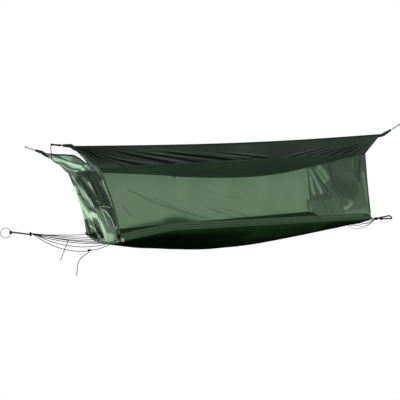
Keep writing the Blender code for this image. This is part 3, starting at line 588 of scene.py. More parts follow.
def mottle_group() -> bpy.types.NodeTree:
    """Soft changes of tone: noise about one half, spread by an amount.

    Returns:
        The group.
    """
    group, tree, start, end = new_group(
        "mottle", {"Vector": ("NodeSocketVector", 0.0), "Scale": ("NodeSocketFloat", 4.0),
                   "Amount": ("NodeSocketFloat", 0.2)}, "Share")
    noise = tree.add("ShaderNodeTexNoise", {"Vector": start.outputs["Vector"],
                                            "Scale": start.outputs["Scale"], "Detail": 5.0})
    spread = tree.math("MULTIPLY", tree.math("SUBTRACT", noise.outputs["Fac"], 0.5),
                       start.outputs["Amount"])
    tree.link(tree.math("ADD", spread, 0.5, clamp=True), end, "Share")
    return group


def wrinkle_group() -> bpy.types.NodeTree:
    """Small wrinkles: noise stretched along the cloth, folded about its middle into ridges.

    Returns:
        The group.
    """
    group, tree, start, end = new_group(
        "wrinkles", {"Vector": ("NodeSocketVector", 0.0), "Scale": ("NodeSocketFloat", 20.0)},
        "Height")
    noise = tree.add("ShaderNodeTexNoise", {"Vector": start.outputs["Vector"],
                                            "Scale": start.outputs["Scale"], "Detail": 3.0,
                                            "Distortion": 0.6})
    folded = tree.math("ABSOLUTE", tree.math("SUBTRACT", noise.outputs["Fac"], 0.5))
    tree.link(tree.math("SUBTRACT", 1.0, tree.math("MULTIPLY", folded, 2.0)), end, "Height")
    return group


GROUPS = {"weave": weave_group(), "mottle": mottle_group(), "wrinkles": wrinkle_group()}


@dataclass(frozen=True)
class Finish:
    """A material: two screen colours that the piece's tone mark goes between, and its surface; on the
    sheets and nets the tone mark holds painted light and shade.
    """

    name: str
    slot: str
    dark: Colour
    light: Colour
    pattern: Pattern = Pattern.WOVEN
    roughness: float = 0.7
    threads: float = 900.0
    relief: float = 0.0003
    mottle: float = 0.35
    mottle_scale: float = 5.0
    wrinkle: float = 0.0
    wrinkle_scale: float = 14.0
    alpha: float = 1.0
    alpha_play: float = 0.0
    see_light: float = 0.0
    shine: float = 0.12

    def build(self) -> bpy.types.Material:
        """Makes the material once and returns it from then on.

        Returns:
            The material.
        """
        made = bpy.data.materials.get(self.name)
        if made:
            return made
        made = bpy.data.materials.new(self.name)
        made.use_nodes = True
        tree = Tree(made.node_tree)
        shader = made.node_tree.nodes["Principled BSDF"]
        if self.pattern is Pattern.METAL:
            self._metal(tree, shader)
        else:
            self._cloth(tree, shader)
        return made

    def _metal(self, tree: Tree, shader: Node) -> None:
        """Plated metal: tone and roughness mottled in object space, with faint scratches.

        Args:
            tree: the material's tree.
            shader: its Principled shader.
        """
        place = tree.add("ShaderNodeTexCoord").outputs["Object"]
        mottle = self._group(tree, "mottle", place, Scale=60.0, Amount=self.mottle)
        colour = tree.blend(mottle, self.dark, self.light)
        tree.link(colour, shader, "Base Color")
        rough = tree.math("MULTIPLY_ADD", mottle, 0.2, self.roughness - 0.1)
        tree.link(rough, shader, "Roughness")
        shader.inputs["Metallic"].default_value = 1.0
        scratch = self._group(tree, "wrinkles", place, Scale=220.0)
        self._bump(tree, shader, scratch, self.relief)

    def _cloth(self, tree: Tree, shader: Node) -> None:
        """Cloth, net or cord: the tone mark picks the colour, and the weave gives relief and a painted
        shade in its hollows.

        Args:
            tree: the material's tree.
            shader: its Principled shader.
        """
        place = tree.add("ShaderNodeUVMap", uv_map="cloth").outputs["UV"]
        tone = tree.add("ShaderNodeAttribute", attribute_name="tone").outputs["Fac"]
        solid = tree.add("ShaderNodeTexCoord").outputs["Object"]
        mottle = self._group(tree, "mottle", solid, Scale=self.mottle_scale, Amount=self.mottle)
        share = tree.math("ADD", tone, tree.math("SUBTRACT", mottle, 0.5), clamp=True)
        weave_place = place
        if self.pattern is Pattern.BRAID:
            turned = tree.add("ShaderNodeMapping", {"Vector": place, "Scale": (0.0125, 1.0, 1.0),
                                                    "Rotation": (0.0, 0.0, np.pi / 4.0)})
            weave_place = turned.outputs[0]
        weave = self._group(tree, "weave", weave_place, Threads=self.threads)
        colour = tree.blend(share, self.dark, self.light)
        # Painted shade: the colour darkens in the weave's hollows and lightens on its threads' tops, as
        # light falls on them.
        weave_shade = 0.08 if self.pattern is Pattern.MESH else 0.22
        weave_shading = tree.math("MULTIPLY_ADD", weave, weave_shade, 1.0 - weave_shade / 2)
        weave_shaded_colour = tree.add("ShaderNodeVectorMath", {0: colour}, operation="SCALE")
        tree.link(weave_shading, weave_shaded_colour, "Scale")
        tree.link(weave_shaded_colour.outputs[0], shader, "Base Color")
        shader.inputs["Roughness"].default_value = self.roughness
        shader.inputs["Specular IOR Level"].default_value = self.shine
        height = tree.math("MULTIPLY", weave, self.relief)
        if self.wrinkle:
            wrinkles = self._group(tree, "wrinkles", place, Scale=self.wrinkle_scale)
            height = tree.math("ADD", height, tree.math("MULTIPLY", wrinkles, self.wrinkle))
        self._bump(tree, shader, height, 1.0)
        if self.alpha < 1.0:
            self._see_through(tree, shader, place)
        if self.see_light:
            self._let_light_through(tree, shader, weave_shaded_colour.outputs[0])

    def _see_through(self, tree: Tree, shader: Node, place: Socket) -> None:
        """Net: the alpha wanders a little about its mean, and is denser where the dense mark is set: on
        crumples where the cloth doubles, and on painted dark creases and shade.

        Args:
            tree: the material's tree.
            shader: its Principled shader.
            place: the place on the cloth.
        """
        dense = tree.add("ShaderNodeAttribute", attribute_name="dense").outputs["Fac"]
        mottle = self._group(tree, "mottle", place, Scale=7.0, Amount=self.alpha_play)
        alpha = tree.math("ADD", tree.math("SUBTRACT", mottle, 0.5), self.alpha)
        alpha = tree.math("ADD", alpha, tree.math("MULTIPLY", dense, 1.0 - self.alpha), clamp=True)
        tree.link(alpha, shader, "Alpha")

    def _let_light_through(self, tree: Tree, shader: Node, colour: Socket) -> None:
        """Thin cloth: a share of its light comes from the far side; holes stay clear.

        Args:
            tree: the material's tree.
            shader: its Principled shader.
            colour: the cloth's colour.
        """
        far = tree.add("ShaderNodeBsdfTranslucent", {"Color": colour})
        output = next(node for node in tree.tree.nodes if node.type == "OUTPUT_MATERIAL")
        clear = tree.add("ShaderNodeBsdfTransparent")
        alpha = shader.inputs["Alpha"]
        solid = alpha.links[0].from_socket if alpha.is_linked else 1.0
        veil = tree.add("ShaderNodeMixShader", {0: solid, 1: clear.outputs[0], 2: far.outputs[0]})
        both = tree.add("ShaderNodeMixShader", {0: self.see_light, 1: shader.outputs[0],
                                                2: veil.outputs[0]})
        tree.link(both.outputs[0], output, "Surface")

    @staticmethod
    def _group(tree: Tree, name: str, place: Socket, **values: float) -> Socket:
        """Places a shared group and returns its output.

        Args:
            tree: the material's tree.
            name: the group's name.
            place: what its Vector reads.
            values: its other inputs.

        Returns:
            Its output.
        """
        made = tree.add("ShaderNodeGroup", node_tree=GROUPS[name])
        tree.link(place, made, "Vector")
        for label, value in values.items():
            made.inputs[label].default_value = value
        return made.outputs[0]

    @staticmethod
    def _bump(tree: Tree, shader: Node, height: Socket, distance: float) -> None:
        """Feeds a height in metres, or a share of a distance, to the shader's normal."""
        bump = tree.add("ShaderNodeBump", {"Height": height, "Distance": distance, "Strength": 0.6})
        tree.link(bump.outputs[0], shader, "Normal")


def dress(obj: Piece, finish: Finish, body: str, *nodes: str,
          inner_side: Optional[Finish] = None) -> None:
    """Gives a new piece its finish, and mounts it on its body.

    Args:
        obj: the piece.
        finish: its material.
        body: what it rides on.
        nodes: the CAD nodes it replaces.
        inner_side: the material of its inner side.
    """
    for each in (finish, inner_side):
        if each is not None:
            obj.data.materials.append(each.build())
    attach(obj, body)
    if nodes:
        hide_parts(*nodes)
    triangles = sum(len(face.vertices) - 2 for face in obj.data.polygons)
    LOG.info("%s rides on %s, %d triangles", obj.name, body, triangles)


# Painted light: the roof cloth's pale mint light colour stands for light falling on the head flap; the
# eaves and ceiling stay near its dark end.
ROOF_CLOTH = Finish("roof_cloth_coated", "roof_cloth", (8, 14, 10), (196, 238, 207), roughness=0.5,
                    threads=1100.0, relief=0.00012, mottle=0.05, wrinkle=0.0008, wrinkle_scale=9.0,
                    see_light=0.35)
# Painted shade: the bed's outside and inside are one cloth; the outside's near-black palette is painted
# shade under the bed, the inside's lighter palette its lit side.
BED_OUTSIDE_SHADED = Finish("bed_cloth_outside_shaded", "bed_cloth", (1, 3, 1), (30, 50, 26), shine=0.0,
                     threads=1300.0, relief=0.00012, mottle=0.22, mottle_scale=2.2, wrinkle=0.002,
                     wrinkle_scale=6.0)
BED_INSIDE_LIT = Finish("bed_cloth_inside_lit", "bed_cloth", (30, 44, 30), (100, 132, 96), shine=0.0,
                    threads=1300.0, relief=0.00012, mottle=0.3, mottle_scale=4.0, wrinkle=0.002,
                    wrinkle_scale=6.0)
# Painted light and shade: the nets are one net cloth; the end nets' pale mint light colours are the light
# on their lit folds, and their near-black dark colours the shade in their creases.
FRONT_NET = Finish("front_net_sheer", "net_cloth", (14, 26, 14), (84, 120, 84),
                   pattern=Pattern.MESH, roughness=0.9, threads=650.0, relief=0.0, mottle=0.1,
                   alpha=0.44, alpha_play=0.06, shine=0.0, see_light=0.4)
BACK_NET = Finish("back_net", "net_cloth", (12, 20, 12), (132, 176, 130), pattern=Pattern.MESH,
                  roughness=0.9, threads=650.0, relief=0.0, mottle=0.08, alpha=0.93,
                  alpha_play=0.04, shine=0.0, see_light=0.8)
HEAD_NET = Finish("head_net_crinkled", "end_net", (6, 14, 9), (212, 246, 210), pattern=Pattern.MESH,
                  threads=650.0, relief=0.0, mottle=0.14, mottle_scale=75.0, wrinkle=0.003,
                  wrinkle_scale=16.0, alpha=0.98, alpha_play=0.03, shine=0.02, see_light=0.2)
FOOT_NET = Finish("foot_net", "net_cloth", (14, 24, 15), (196, 236, 200), pattern=Pattern.MESH,
                  roughness=0.8, threads=650.0, relief=0.0, mottle=0.04, mottle_scale=12.0,
                  wrinkle=0.001, alpha=0.98, alpha_play=0.03, shine=0.0, see_light=0.4)
WEBBING = Finish("webbing_dark", "webbing", (12, 16, 13), (46, 56, 48), roughness=0.8,
                 threads=700.0, relief=0.0004, mottle=0.2, mottle_scale=40.0)
TAPE = Finish("zip_tape_green", "zip_tape", (40, 56, 40), (70, 92, 68), roughness=0.8,
              relief=0.0002, mottle=0.2, mottle_scale=30.0)
TEETH = Finish("zip_teeth", "zip_tape", (34, 46, 34), (64, 82, 62), roughness=0.4, mottle=0.1)
THREAD = Finish("sewing_thread", "zip_tape", (22, 30, 24), (58, 72, 60), mottle=0.1)
TAB_THREAD = Finish("tab_thread", "webbing", (26, 34, 28), (80, 94, 84), mottle=0.1)
BED_EDGE = Finish("bed_edge_tape", "bed_cloth", (22, 34, 22), (66, 88, 64), roughness=0.75,
                  threads=800.0, mottle=0.2, mottle_scale=30.0)
ROOF_HEM = Finish("roof_hem_tape", "roof_cloth", (4, 7, 5), (38, 50, 44), roughness=0.6,
                  mottle=0.15, mottle_scale=20.0)
CORD_DARK = Finish("cord_dark", "cord", (4, 5, 4), (24, 29, 26), pattern=Pattern.BRAID,
                   roughness=0.75, threads=1000.0, relief=0.0006, mottle=0.3, mottle_scale=60.0)
CORD_PALE = Finish("cord_pale", "cord", (84, 92, 86), (196, 202, 196), pattern=Pattern.BRAID,
                   roughness=0.75, threads=1000.0, relief=0.0006, mottle=0.5, mottle_scale=60.0)
PALE_TAPE = Finish("pale_tape", "pale_tape", (150, 170, 150), (214, 232, 212), roughness=0.75,
                   relief=0.0004, mottle=0.2, mottle_scale=50.0)
LABEL = Finish("label_blank", "label_cloth", (206, 210, 204), (250, 252, 250), threads=1500.0,
               relief=0.0001, mottle=0.1, mottle_scale=30.0, see_light=0.1)
# Partly painted shade: the gathered corners are the roof cloth, darker than it for the shade in their
# drawn-together folds.
GATHER = Finish("corner_gather_dark", "roof_cloth", (5, 8, 6), (40, 54, 46), threads=1100.0,
                relief=0.0004, mottle=0.5, mottle_scale=90.0, wrinkle=0.002, wrinkle_scale=60.0)
# Painted light and shade: the head hem is the bed cloth, with a pale lit colour and a near-black shaded
# one.
HEAD_HEM = Finish("head_hem_gathered", "bed_cloth", (4, 10, 6), (150, 184, 150), threads=800.0,
                  mottle=0.3, mottle_scale=60.0)
STEEL = Finish("plated_steel", "steel", (92, 94, 92), (168, 170, 168), pattern=Pattern.METAL,
               roughness=0.32, relief=0.0001, mottle=0.5)
COATED_STEEL = Finish("coated_steel_dark", "steel", (24, 30, 26), (64, 74, 66),
                      pattern=Pattern.METAL, roughness=0.5, relief=0.0001, mottle=0.4)


# Cords and fittings at the ends

LINE_DIAMETER = 0.0045
LINE_RADIUS = LINE_DIAMETER / 2
HEM_SHARES = (-0.88, -0.62, -0.38, -0.14, 0.14, 0.38, 0.62, 0.88)
BUNDLE_SPACING = LINE_DIAMETER + 2 * GAP
HITCH_RADIUS = 0.0016
HITCH_SPREAD = 0.0026


def bundle_place(index: int, sags: Sequence[float]) -> tuple[float, float]:
    """Where a line lies in the bundle: four pairs, the slacker of each pair below.

    Args:
        index: the line's number, from 0.
        sags: every line's sag.

    Returns:
        Its place across, and its height.
    """
    partner = index + 1 - 2 * (index % 2)
    below = (sags[index], index) > (sags[partner], partner)
    level = -BUNDLE_SPACING / 2 if below else BUNDLE_SPACING / 2
    return (index // 2 - 1.5) * BUNDLE_SPACING, level


def end_room(before: Points, end: Points) -> float:
    """How far a line's flat end stands off what it runs to."""
    return LINE_RADIUS * float(np.sqrt(1.0 - unit(end - before)[0] ** 2))


def winding(name: str, centre: Sequence[float], axis: int, length: float, radius: float,
            cord: float, turns: int, finish: Finish, body: str, *nodes: str) -> None:
    """Cord wound round an axis: a helix of the radius, whose pitch is length over turns.

    Args:
        name: its name.
        centre: its middle.
        axis: 0, 1 or 2 for x, y or z.
        length: its length along the axis.
        radius: the helix's radius.
        cord: the cord's diameter.
        turns: how often it goes round.
        finish: its material.
        body: what it rides on.
        nodes: the CAD nodes it replaces.
    """
    t = np.linspace(0.0, 1.0, turns * 20 + 1)
    angle = 2.0 * np.pi * turns * t
    helix = np.stack([radius * np.cos(angle), radius * np.sin(angle),
                      (length - cord) * (t - 0.5)], axis=1)
    helix = np.roll(helix, axis - 2, axis=1) + np.asarray(centre)
    upright = np.roll([0.0, 0.0, 1.0], axis - 2)
    dress(tube(name, helix, cord / 2, 8, upright=upright), finish, body, *nodes)


def knot_bead(name: str, centre: Points, ahead: Points, radius: float, cord: float,
              body: str, *nodes: str) -> None:
    """An overhand knot pulled tight, as a trefoil curve scaled to the knot's radius.

    Its points are (sin t + 2 sin 2t, cos t - 2 cos 2t, -1.6 sin 3t), the last along the cord.

    Args:
        name: its name.
        centre: its middle.
        ahead: the cord's direction there.
        radius: half of its width.
        cord: the diameter of its strands.
        body: what it rides on.
        nodes: the CAD nodes it replaces.
    """
    t = whole_turn(60)
    reach = (radius - cord / 2) / 3.0
    curve = np.stack([np.sin(t) + 2.0 * np.sin(2.0 * t), np.cos(t) - 2.0 * np.cos(2.0 * t),
                      -1.6 * np.sin(3.0 * t)], axis=1) * reach
    ahead = unit(np.asarray(ahead, dtype=float))
    side = unit(np.cross(ahead, [0.13, 0.31, 0.94]))
    over = np.cross(ahead, side)
    path = np.asarray(centre) + curve[:, :1] * side + curve[:, 1:2] * over + curve[:, 2:] * ahead
    dress(tube(name, path, cord / 2, 8, ring=True, upright=ahead), CORD_DARK, body, *nodes)


def twisted(name: str, path: Points, radius: float, pitch: float,
            upright: Sequence[float]) -> Piece:
    """Two strands laid round a closed path: path plus r (side cos a + over sin a).

    Args:
        name: its name.
        path: its centreline, n by 3.
        radius: one strand's radius.
        pitch: the length of a turn.
        upright: a direction that the path never follows.

    Returns:
        The object.
    """
    ahead = unit(np.roll(path, -1, axis=0) - np.roll(path, 1, axis=0))
    side = unit(np.cross(np.asarray(upright, dtype=float), ahead))
    over = np.cross(ahead, side)
    steps = np.linalg.norm(np.roll(path, -1, axis=0) - path, axis=1)
    along = np.cumsum(steps) - steps
    turns = max(1, round(float(steps.sum()) / pitch))
    angle = (2.0 * np.pi * turns / steps.sum()) * along[:, None]
    strands = [tube(name, path + radius * (np.cos(angle + start) * side
                                           + np.sin(angle + start) * over),
                    radius, 7, ring=True, upright=upright) for start in (0.0, np.pi)]
    return merge(strands, name)


def free_cord(name: str, path: Points, finish: Finish, body: str,
              node: str, diameter: float = LINE_DIAMETER) -> None:
    """A cord along a path, with its exit at the path's start.

    Args:
        name: its name.
        path: from its exit to its far end.
        finish: its material.
        node: the CAD node it replaces.
        diameter: its diameter.
    """
    piece = tube(name, path, diameter / 2, 10, upright=(0.05, 0.98, 0.2))
    dress(piece, finish, body, node)


def hitch(name: str, end: Points, share: float) -> None:
    """Turns of a line round the hem where it is tied: two circles just clear of the hem.

    Args:
        name: its name.
        end: the line's end.
        share: its place along the hem, -1 to 1.
    """
    head = bool(end[0] < BED_MIDDLE_X)
    rings = []
    for y in share * HALF_WIDTH + np.array([-HITCH_SPREAD, HITCH_SPREAD]):
        centre = (RING_TO_BED if head else BED_FOOT_X, y, float(hem_height(np.array(y), head)))
        rings.append(tube(f"{name}_turn", circle(centre, HEM_RADIUS + HITCH_RADIUS, 32),
                          HITCH_RADIUS, 6, ring=True, upright=(0.0, 1.0, 0.0)))
    dress(merge(rings, name), CORD_DARK, "hammock")


@dataclass
class HeadRigging:
    """The steel ring, eight lines that fan from it to the head hem, knots and cord ends."""

    ring_radius: float = 0.0306
    wire: float = 0.0048
    bight_length: float = 0.022
    bight_diameter: float = 0.0155
    knot_x: float = 0.150
    knot_length: float = 0.012
    knot_diameter: float = 0.027
    lashing: float = 0.003
    slack_knot: float = 0.016
    slack_knot_cord: float = 0.0056
    hitch_beside: float = 0.013
    sags: tuple[float, ...] = (0.080, 0.050, 0.022, 0.014, 0.009, 0.006, 0.004, 0.004)
    line_tail: tuple[Place, ...] = (
        (0.0, 0.0, 0.0), (-0.005, -0.001, -0.012), (-0.015, -0.002, -0.033),
        (-0.027, -0.003, -0.056), (-0.039, -0.003, -0.080), (-0.050, -0.004, -0.105),
        (-0.056, -0.004, -0.121))
    knot_tail: tuple[Place, ...] = (
        (0.0, 0.0, 0.0), (-0.013, -0.002, -0.007), (-0.034, -0.004, -0.018),
        (-0.056, -0.006, -0.034), (-0.070, -0.007, -0.053), (-0.078, -0.007, -0.080),
        (-0.083, -0.007, -0.108), (-0.088, -0.007, -0.136))

    def knot_height(self) -> float:
        """Height of the crossing of the lines."""
        return float(hem_height(np.array(0.0), True)) * self.knot_x / RING_TO_BED * 0.75

    def route(self, index: int) -> list[Points]:
        """The part's own points of a line: bundle, crossing, then a sagging run to the hem.

        Args:
            index: the line's number, from 0.

        Returns:
            The points, from the ring to the hem.
        """
        side, level = bundle_place(index, self.sags)
        knot = np.array([self.knot_x, side, self.knot_height() + level])
        share = HEM_SHARES[index] * HALF_WIDTH
        hem = np.array([RING_TO_BED - HEM_RADIUS - GAP * 2, share,
                        float(hem_height(np.array(share), True))])
        start = np.array([self.ring_radius + self.bight_diameter / 2 + GAP, side, level])
        step = np.array([self.knot_length, 0.0, 0.0])
        points = [start, start + (knot - start) * 0.1, (start + knot) / 2, knot - step, knot + step]
        leave = points[-1]
        for share in (0.15, 0.3, 0.45, 0.6, 0.75, 0.9, 1.0):
            sag = np.array([0.0, 0.0, self.sags[index] * 4.0 * share * (1.0 - share)])
            points.append(leave + (hem - leave) * share - sag)
        points[-1][0] -= end_room(points[-2], points[-1])
        return points

    def build(self) -> None:
        """Makes the ring, its bight, the lines, the knots and the two free ends."""
        ring = tube("steel_ring", circle((0.0, 0.0, 0.0), self.ring_radius, 96), self.wire / 2,
                    16, ring=True, upright=(0.0, 1.0, 0.0))
        dress(ring, STEEL, "head_ring", "head_ring")
        winding("ring_bight", (self.ring_radius, 0.0, 0.0), 2, self.bight_length,
                (self.bight_diameter - LINE_DIAMETER) / 2 + 0.0004, LINE_DIAMETER, 5, CORD_DARK,
                "hammock", "head_bight")
        centre = (self.knot_x, 0.0, self.knot_height())
        winding("line_crossing", centre, 0, self.knot_length,
                (self.knot_diameter - self.lashing) / 2, self.lashing, 4, CORD_DARK, "hammock",
                "head_crossing_band")
        for index in range(len(HEM_SHARES)):
            path = smooth_path(self.route(index), 0.012)
            free_cord(f"head_line_{index + 1}_cord", path, CORD_DARK, "hammock",
                      f"head_line_{index + 1}")
            hitch(f"head_line_{index + 1}_hitch", path[-1], HEM_SHARES[index])
        slack = self.route(0)
        centre = (slack[8] + slack[9]) / 2
        along = slack[9] - slack[8]
        knot_bead("slack_knot", centre, along, self.slack_knot * 0.62, self.slack_knot_cord,
                  "hammock", "slack_line_knot")
        beside = centre + unit(along) * self.hitch_beside + [0.0, 0.0, 0.002]
        knot_bead("slack_knot_hitch", beside, along, 0.0066, 0.0034, "hammock")
        clear = np.array([0.0, 0.0, self.slack_knot / 2 + LINE_RADIUS])
        tail = smooth_path([centre - clear + point for point in self.knot_tail], 0.005)
        free_cord("knot_tail", tail, CORD_DARK, "hammock", "knot_cord_end")
        carrier = self.route(3)
        place = mix(carrier[7], carrier[8], 0.3)
        tied = place - [0.0, 0.0, LINE_RADIUS + GAP * 2]
        tail = smooth_path([tied + point for point in self.line_tail], 0.005)
        free_cord("line_tail", tail, CORD_DARK, "hammock", "line_cord_end")
        knot_bead("line_tail_hitch", place, carrier[8] - carrier[7], 0.0062, 0.0024, "hammock")


@dataclass
class FootRigging:
    """Eight lines from the foot hem to a knot, and the doubled loop that hangs the foot."""

    lines_length: float = 0.352
    drop: float = 0.074
    knot_length: float = 0.022
    knot_diameter: float = 0.024
    lashing: float = 0.005
    loop_length: float = 0.158
    loop_width: float = 0.026
    loop_tilt: float = 0.012
    sags: tuple[float, ...] = (0.012, 0.020, 0.040, 0.055, 0.034, 0.014, 0.010, 0.008)

    def place(self) -> Points:
        """The knot's centre."""
        return np.array([BED_FOOT_X + self.lines_length, 0.0, RIM_FOOT_BACK - self.drop])

    def route(self, index: int) -> list[Points]:
        """The part's own points of a line, hanging from the hem to the knot.

        Args:
            index: the line's number, from 0.

        Returns:
            The points, from the hem to the knot.
        """
        side, level = bundle_place(index, self.sags)
        share = HEM_SHARES[index] * HALF_WIDTH
        hem = np.array([BED_FOOT_X + HEM_RADIUS + GAP * 2, share,
                        float(hem_height(np.array(share), False))])
        knot = self.place() + [-self.knot_diameter / 2 - GAP, side, level]
        points = []
        for step in (0.0, 0.12, 0.26, 0.4, 0.55, 0.7, 0.82, 0.91):
            sag = np.array([0.0, 0.0, self.sags[index] * 4.0 * step * (1.0 - step)])
            points.append(hem + (knot - hem) * step - sag)
        points[0][0] += end_room(points[1], points[0])
        return points + [knot - [LINE_DIAMETER, 0.0, 0.0], knot]

    def build(self) -> None:
        """Makes the lines, the knot and the loop."""
        for index in range(len(HEM_SHARES)):
            path = smooth_path(self.route(index), 0.01)
            # Painted highlight: three of the foot lines take the pale cord for the light that falls on
            # them.
            finish = CORD_PALE if index in (2, 3, 4) else CORD_DARK
            free_cord(f"foot_line_{index + 1}_cord", path, finish, "hammock",
                      f"foot_line_{index + 1}")
            hitch(f"foot_line_{index + 1}_hitch", path[0], HEM_SHARES[index])
        winding("foot_knot_turns", self.place(), 1, self.knot_length,
                (self.knot_diameter - self.lashing) / 2, self.lashing, 4, CORD_DARK, "hammock",
                "foot_knot")
        half = self.loop_width / 2
        base = self.knot_length / 2 + LINE_DIAMETER
        side = [(LINE_RADIUS, base, 0.0), (self.knot_diameter, base, 0.0)]
        side += [(self.loop_length * share, float(mix(base, half, share)), self.loop_tilt * share)
                 for share in (0.4, 0.6, 0.8)]
        turn = self.loop_length - half
        angle = np.pi / 2 - np.pi * np.arange(9) / 8
        tip = np.stack([turn + half * np.cos(angle), half * np.sin(angle),
                        self.loop_tilt * np.sin(angle)], axis=1)
        back = [(x, -y, -z) for x, y, z in reversed(side)]
        start = [(0.0, self.knot_length * share, 0.0) for share in (-0.5, 0.0, 0.5)]
        points = np.vstack([start, side, tip, back]) + self.place()
        path = smooth_path(np.vstack([points, points[:1]]), 0.003)[:-1]
        loop = twisted("foot_hanging_loop", path, LINE_RADIUS * 1.5, 0.026, (0.02, 0.05, 1.0))
        dress(loop, CORD_DARK, "foot_loop", "foot_loop")
        knot_bead("foot_loop_knot", self.place() + [0.055, 0.0, -0.006],
                  np.array([1.0, 0.0, -0.2]), 0.0145, 0.0062, "foot_loop")


# Cloth


STRAP_SIDES = 20
SEAM_PITCH = 0.006
STITCH_SHARE = 0.62
STITCH_WIDTH = 0.0007
STITCH_HEIGHT = 0.0006
PER_METRE = 1000.0


def strap(name: str, path: Points, width: float, thickness: float,
          wide: Sequence[float]) -> Piece:
    """A flat tape carried along a path: a rounded oblong section, cos and sin to small powers.

    Args:
        name: its name.
        path: the centreline, n by 3.
        width: the tape's width, in metres.
        thickness: its thickness.
        wide: the direction of its width, one for all points or one for each.

    Returns:
        The object; its UV is (metres across, metres along).
    """
    ahead = unit(np.gradient(path, axis=0))
    wide = np.broadcast_to(np.asarray(wide, dtype=float), path.shape)
    wide = unit(wide - (wide * ahead).sum(axis=1, keepdims=True) * ahead)
    flat = np.cross(ahead, wide)
    angle = whole_turn(STRAP_SIDES) + np.pi / STRAP_SIDES
    across = np.sign(np.cos(angle)) * np.abs(np.cos(angle)) ** 0.4 * width / 2
    over = np.sign(np.sin(angle)) * np.abs(np.sin(angle)) ** 0.5 * thickness / 2
    points = path[:, None] + across[None, :, None] * wide[:, None]
    points = points + over[None, :, None] * flat[:, None]
    along = metres_along(path)
    uv = np.stack(np.broadcast_arrays(across[None, :], along[:, None]), axis=-1)
    faces = quads(len(path), STRAP_SIDES, wrap_columns=True).tolist()
    last = len(path) * STRAP_SIDES
    faces += [list(range(STRAP_SIDES - 1, -1, -1)), list(range(last - STRAP_SIDES, last))]
    return make_mesh(name, points, faces, uv)


def stitches(name: str, path: Points, body: str, pitch: float = 0.005, finish: Finish = THREAD,
             across: Sequence[float] = (0.0, 0.0, 1.0)) -> None:
    """A row of stitches: a small block at every pitch along a path.

    Args:
        name: its name.
        path: the line that they follow, n by 3.
        body: what it rides on.
        pitch: from one stitch to the next.
        finish: the thread.
        across: the direction of their width.
    """
    centres, ways = spaced(path, pitch)
    piece = blocks(name, centres, ways, np.broadcast_to(across, ways.shape),
                   (pitch * STITCH_SHARE, STITCH_WIDTH, STITCH_HEIGHT))
    dress(piece, finish, body)


def cloth(name: str, points: Points, uv: Points, tone: Points, thickness: float,
          finish: Finish, body: str, node: str, inner_side: Optional[Finish] = None,
          dense: Optional[Points] = None) -> Piece:
    """A cloth surface from a grid of points, dressed, its tone and density as marks.

    Args:
        name: its name.
        points: rows by columns by 3.
        uv: each point's place on the cloth.
        tone, dense: each point's marks.
        thickness: 0 for a net.
        finish, inner_side: its materials.
        body: what it rides on.
        node: the CAD node it replaces.

    Returns:
        The object.
    """
    rows, columns = points.shape[:2]
    marks = {"tone": tone, "dense": np.zeros_like(tone) if dense is None else dense}
    obj = make_mesh(name, points, quads(rows, columns), uv, marks)
    if thickness:
        thicken(obj, thickness, inner_side is not None)
    dress(obj, finish, body, node, inner_side=inner_side)
    return obj


def grid(first: Points, second: Points) -> tuple[Points, Points]:
    """Two parameters on a grid, the first down its rows and the second along its columns."""
    return np.meshgrid(first, second, indexing="ij")


@dataclass(frozen=True)
class Fold:
    """A fold in an eave: from one place to another, as x and the share of the way down."""

    start_x: float
    start_down: float
    end_x: float
    end_down: float
    width: float
    depth: float

    def relief_and_tone(self, x: Points, down: Points) -> tuple[Points, Points]:
        """A ridge with a valley under it, exp(-(s+a)2) - exp(-(s-b)2) of the distance s.

        Args:
            x: places along the roof.
            down: the share of the way from the eave's rim to the seam.

        Returns:
            The height off the cloth, and the change of tone: a painted highlight on the ridge and painted
            shade in the valley.
        """
        drop = (self.end_down - self.start_down) * EAVE_FACE
        way = np.array([self.end_x - self.start_x, drop])
        length = float(np.linalg.norm(way))
        way = way / length
        run_x, run_down = x - self.start_x, (down - self.start_down) * EAVE_FACE
        t = (run_x * way[0] + run_down * way[1]) / length
        off = (run_down * abs(way[0]) - run_x * way[1] * np.sign(way[0]))
        size = self.width * (0.35 + 0.65 * np.clip(t, 0.0, 1.0))
        s = off / size
        ends = rise(-0.08, 0.3, t) * (1.0 - rise(0.85, 1.15, t))
        ridge, valley = np.exp(-(s + 0.9) ** 2), np.exp(-((s - 0.45) ** 2) * 0.9)
        return self.depth * ends * (ridge - valley), ends * (0.9 * ridge - 1.3 * valley)


@dataclass(frozen=True)
class Stroke:
    """A crease painted as shade, or a ridge painted as light, along a line of places on a cloth, in
    millimetres.
    """

    places: tuple[tuple[float, ...], ...]
    width: float
    tone: float
    strength: float

    def share(self, where: Points) -> Points:
        """How much of it is at each place: exp(-(d / width)**4) of the distance d to its line.

        Args:
            where: places in metres, along the same axes as its line.

        Returns:
            A share for each place.
        """
        line = np.asarray(self.places) / PER_METRE
        nearest = np.full(where.shape[:-1], np.inf)
        for start, end in zip(line, line[1:]):
            way = end - start
            t = ((where - start) @ way) / max(float(way @ way), 1e-12)
            foot = start + np.clip(t, 0.0, 1.0)[..., None] * way
            nearest = np.minimum(nearest, np.linalg.norm(where - foot, axis=-1))
        return self.strength * np.exp(-((nearest / (self.width / PER_METRE)) ** 4))


def paint(tone: Points, where: Points, strokes: Sequence[Stroke]) -> tuple[Points, Points]:
    """The tone with the strokes of painted light and shade over it in turn, and the relief that they
    press in the cloth.

    Args:
        tone: the cloth's tone.
        where: its places, in metres.
        strokes: in the order of their laying.

    Returns:
        The tone and the relief.
    """
    relief = np.zeros_like(tone)
    for stroke in strokes:
        share = stroke.share(where)
        tone = mix(tone, stroke.tone, share)
        relief = relief + share * (stroke.tone - 0.4) * 0.25 * (stroke.width / PER_METRE)
    return tone, relief


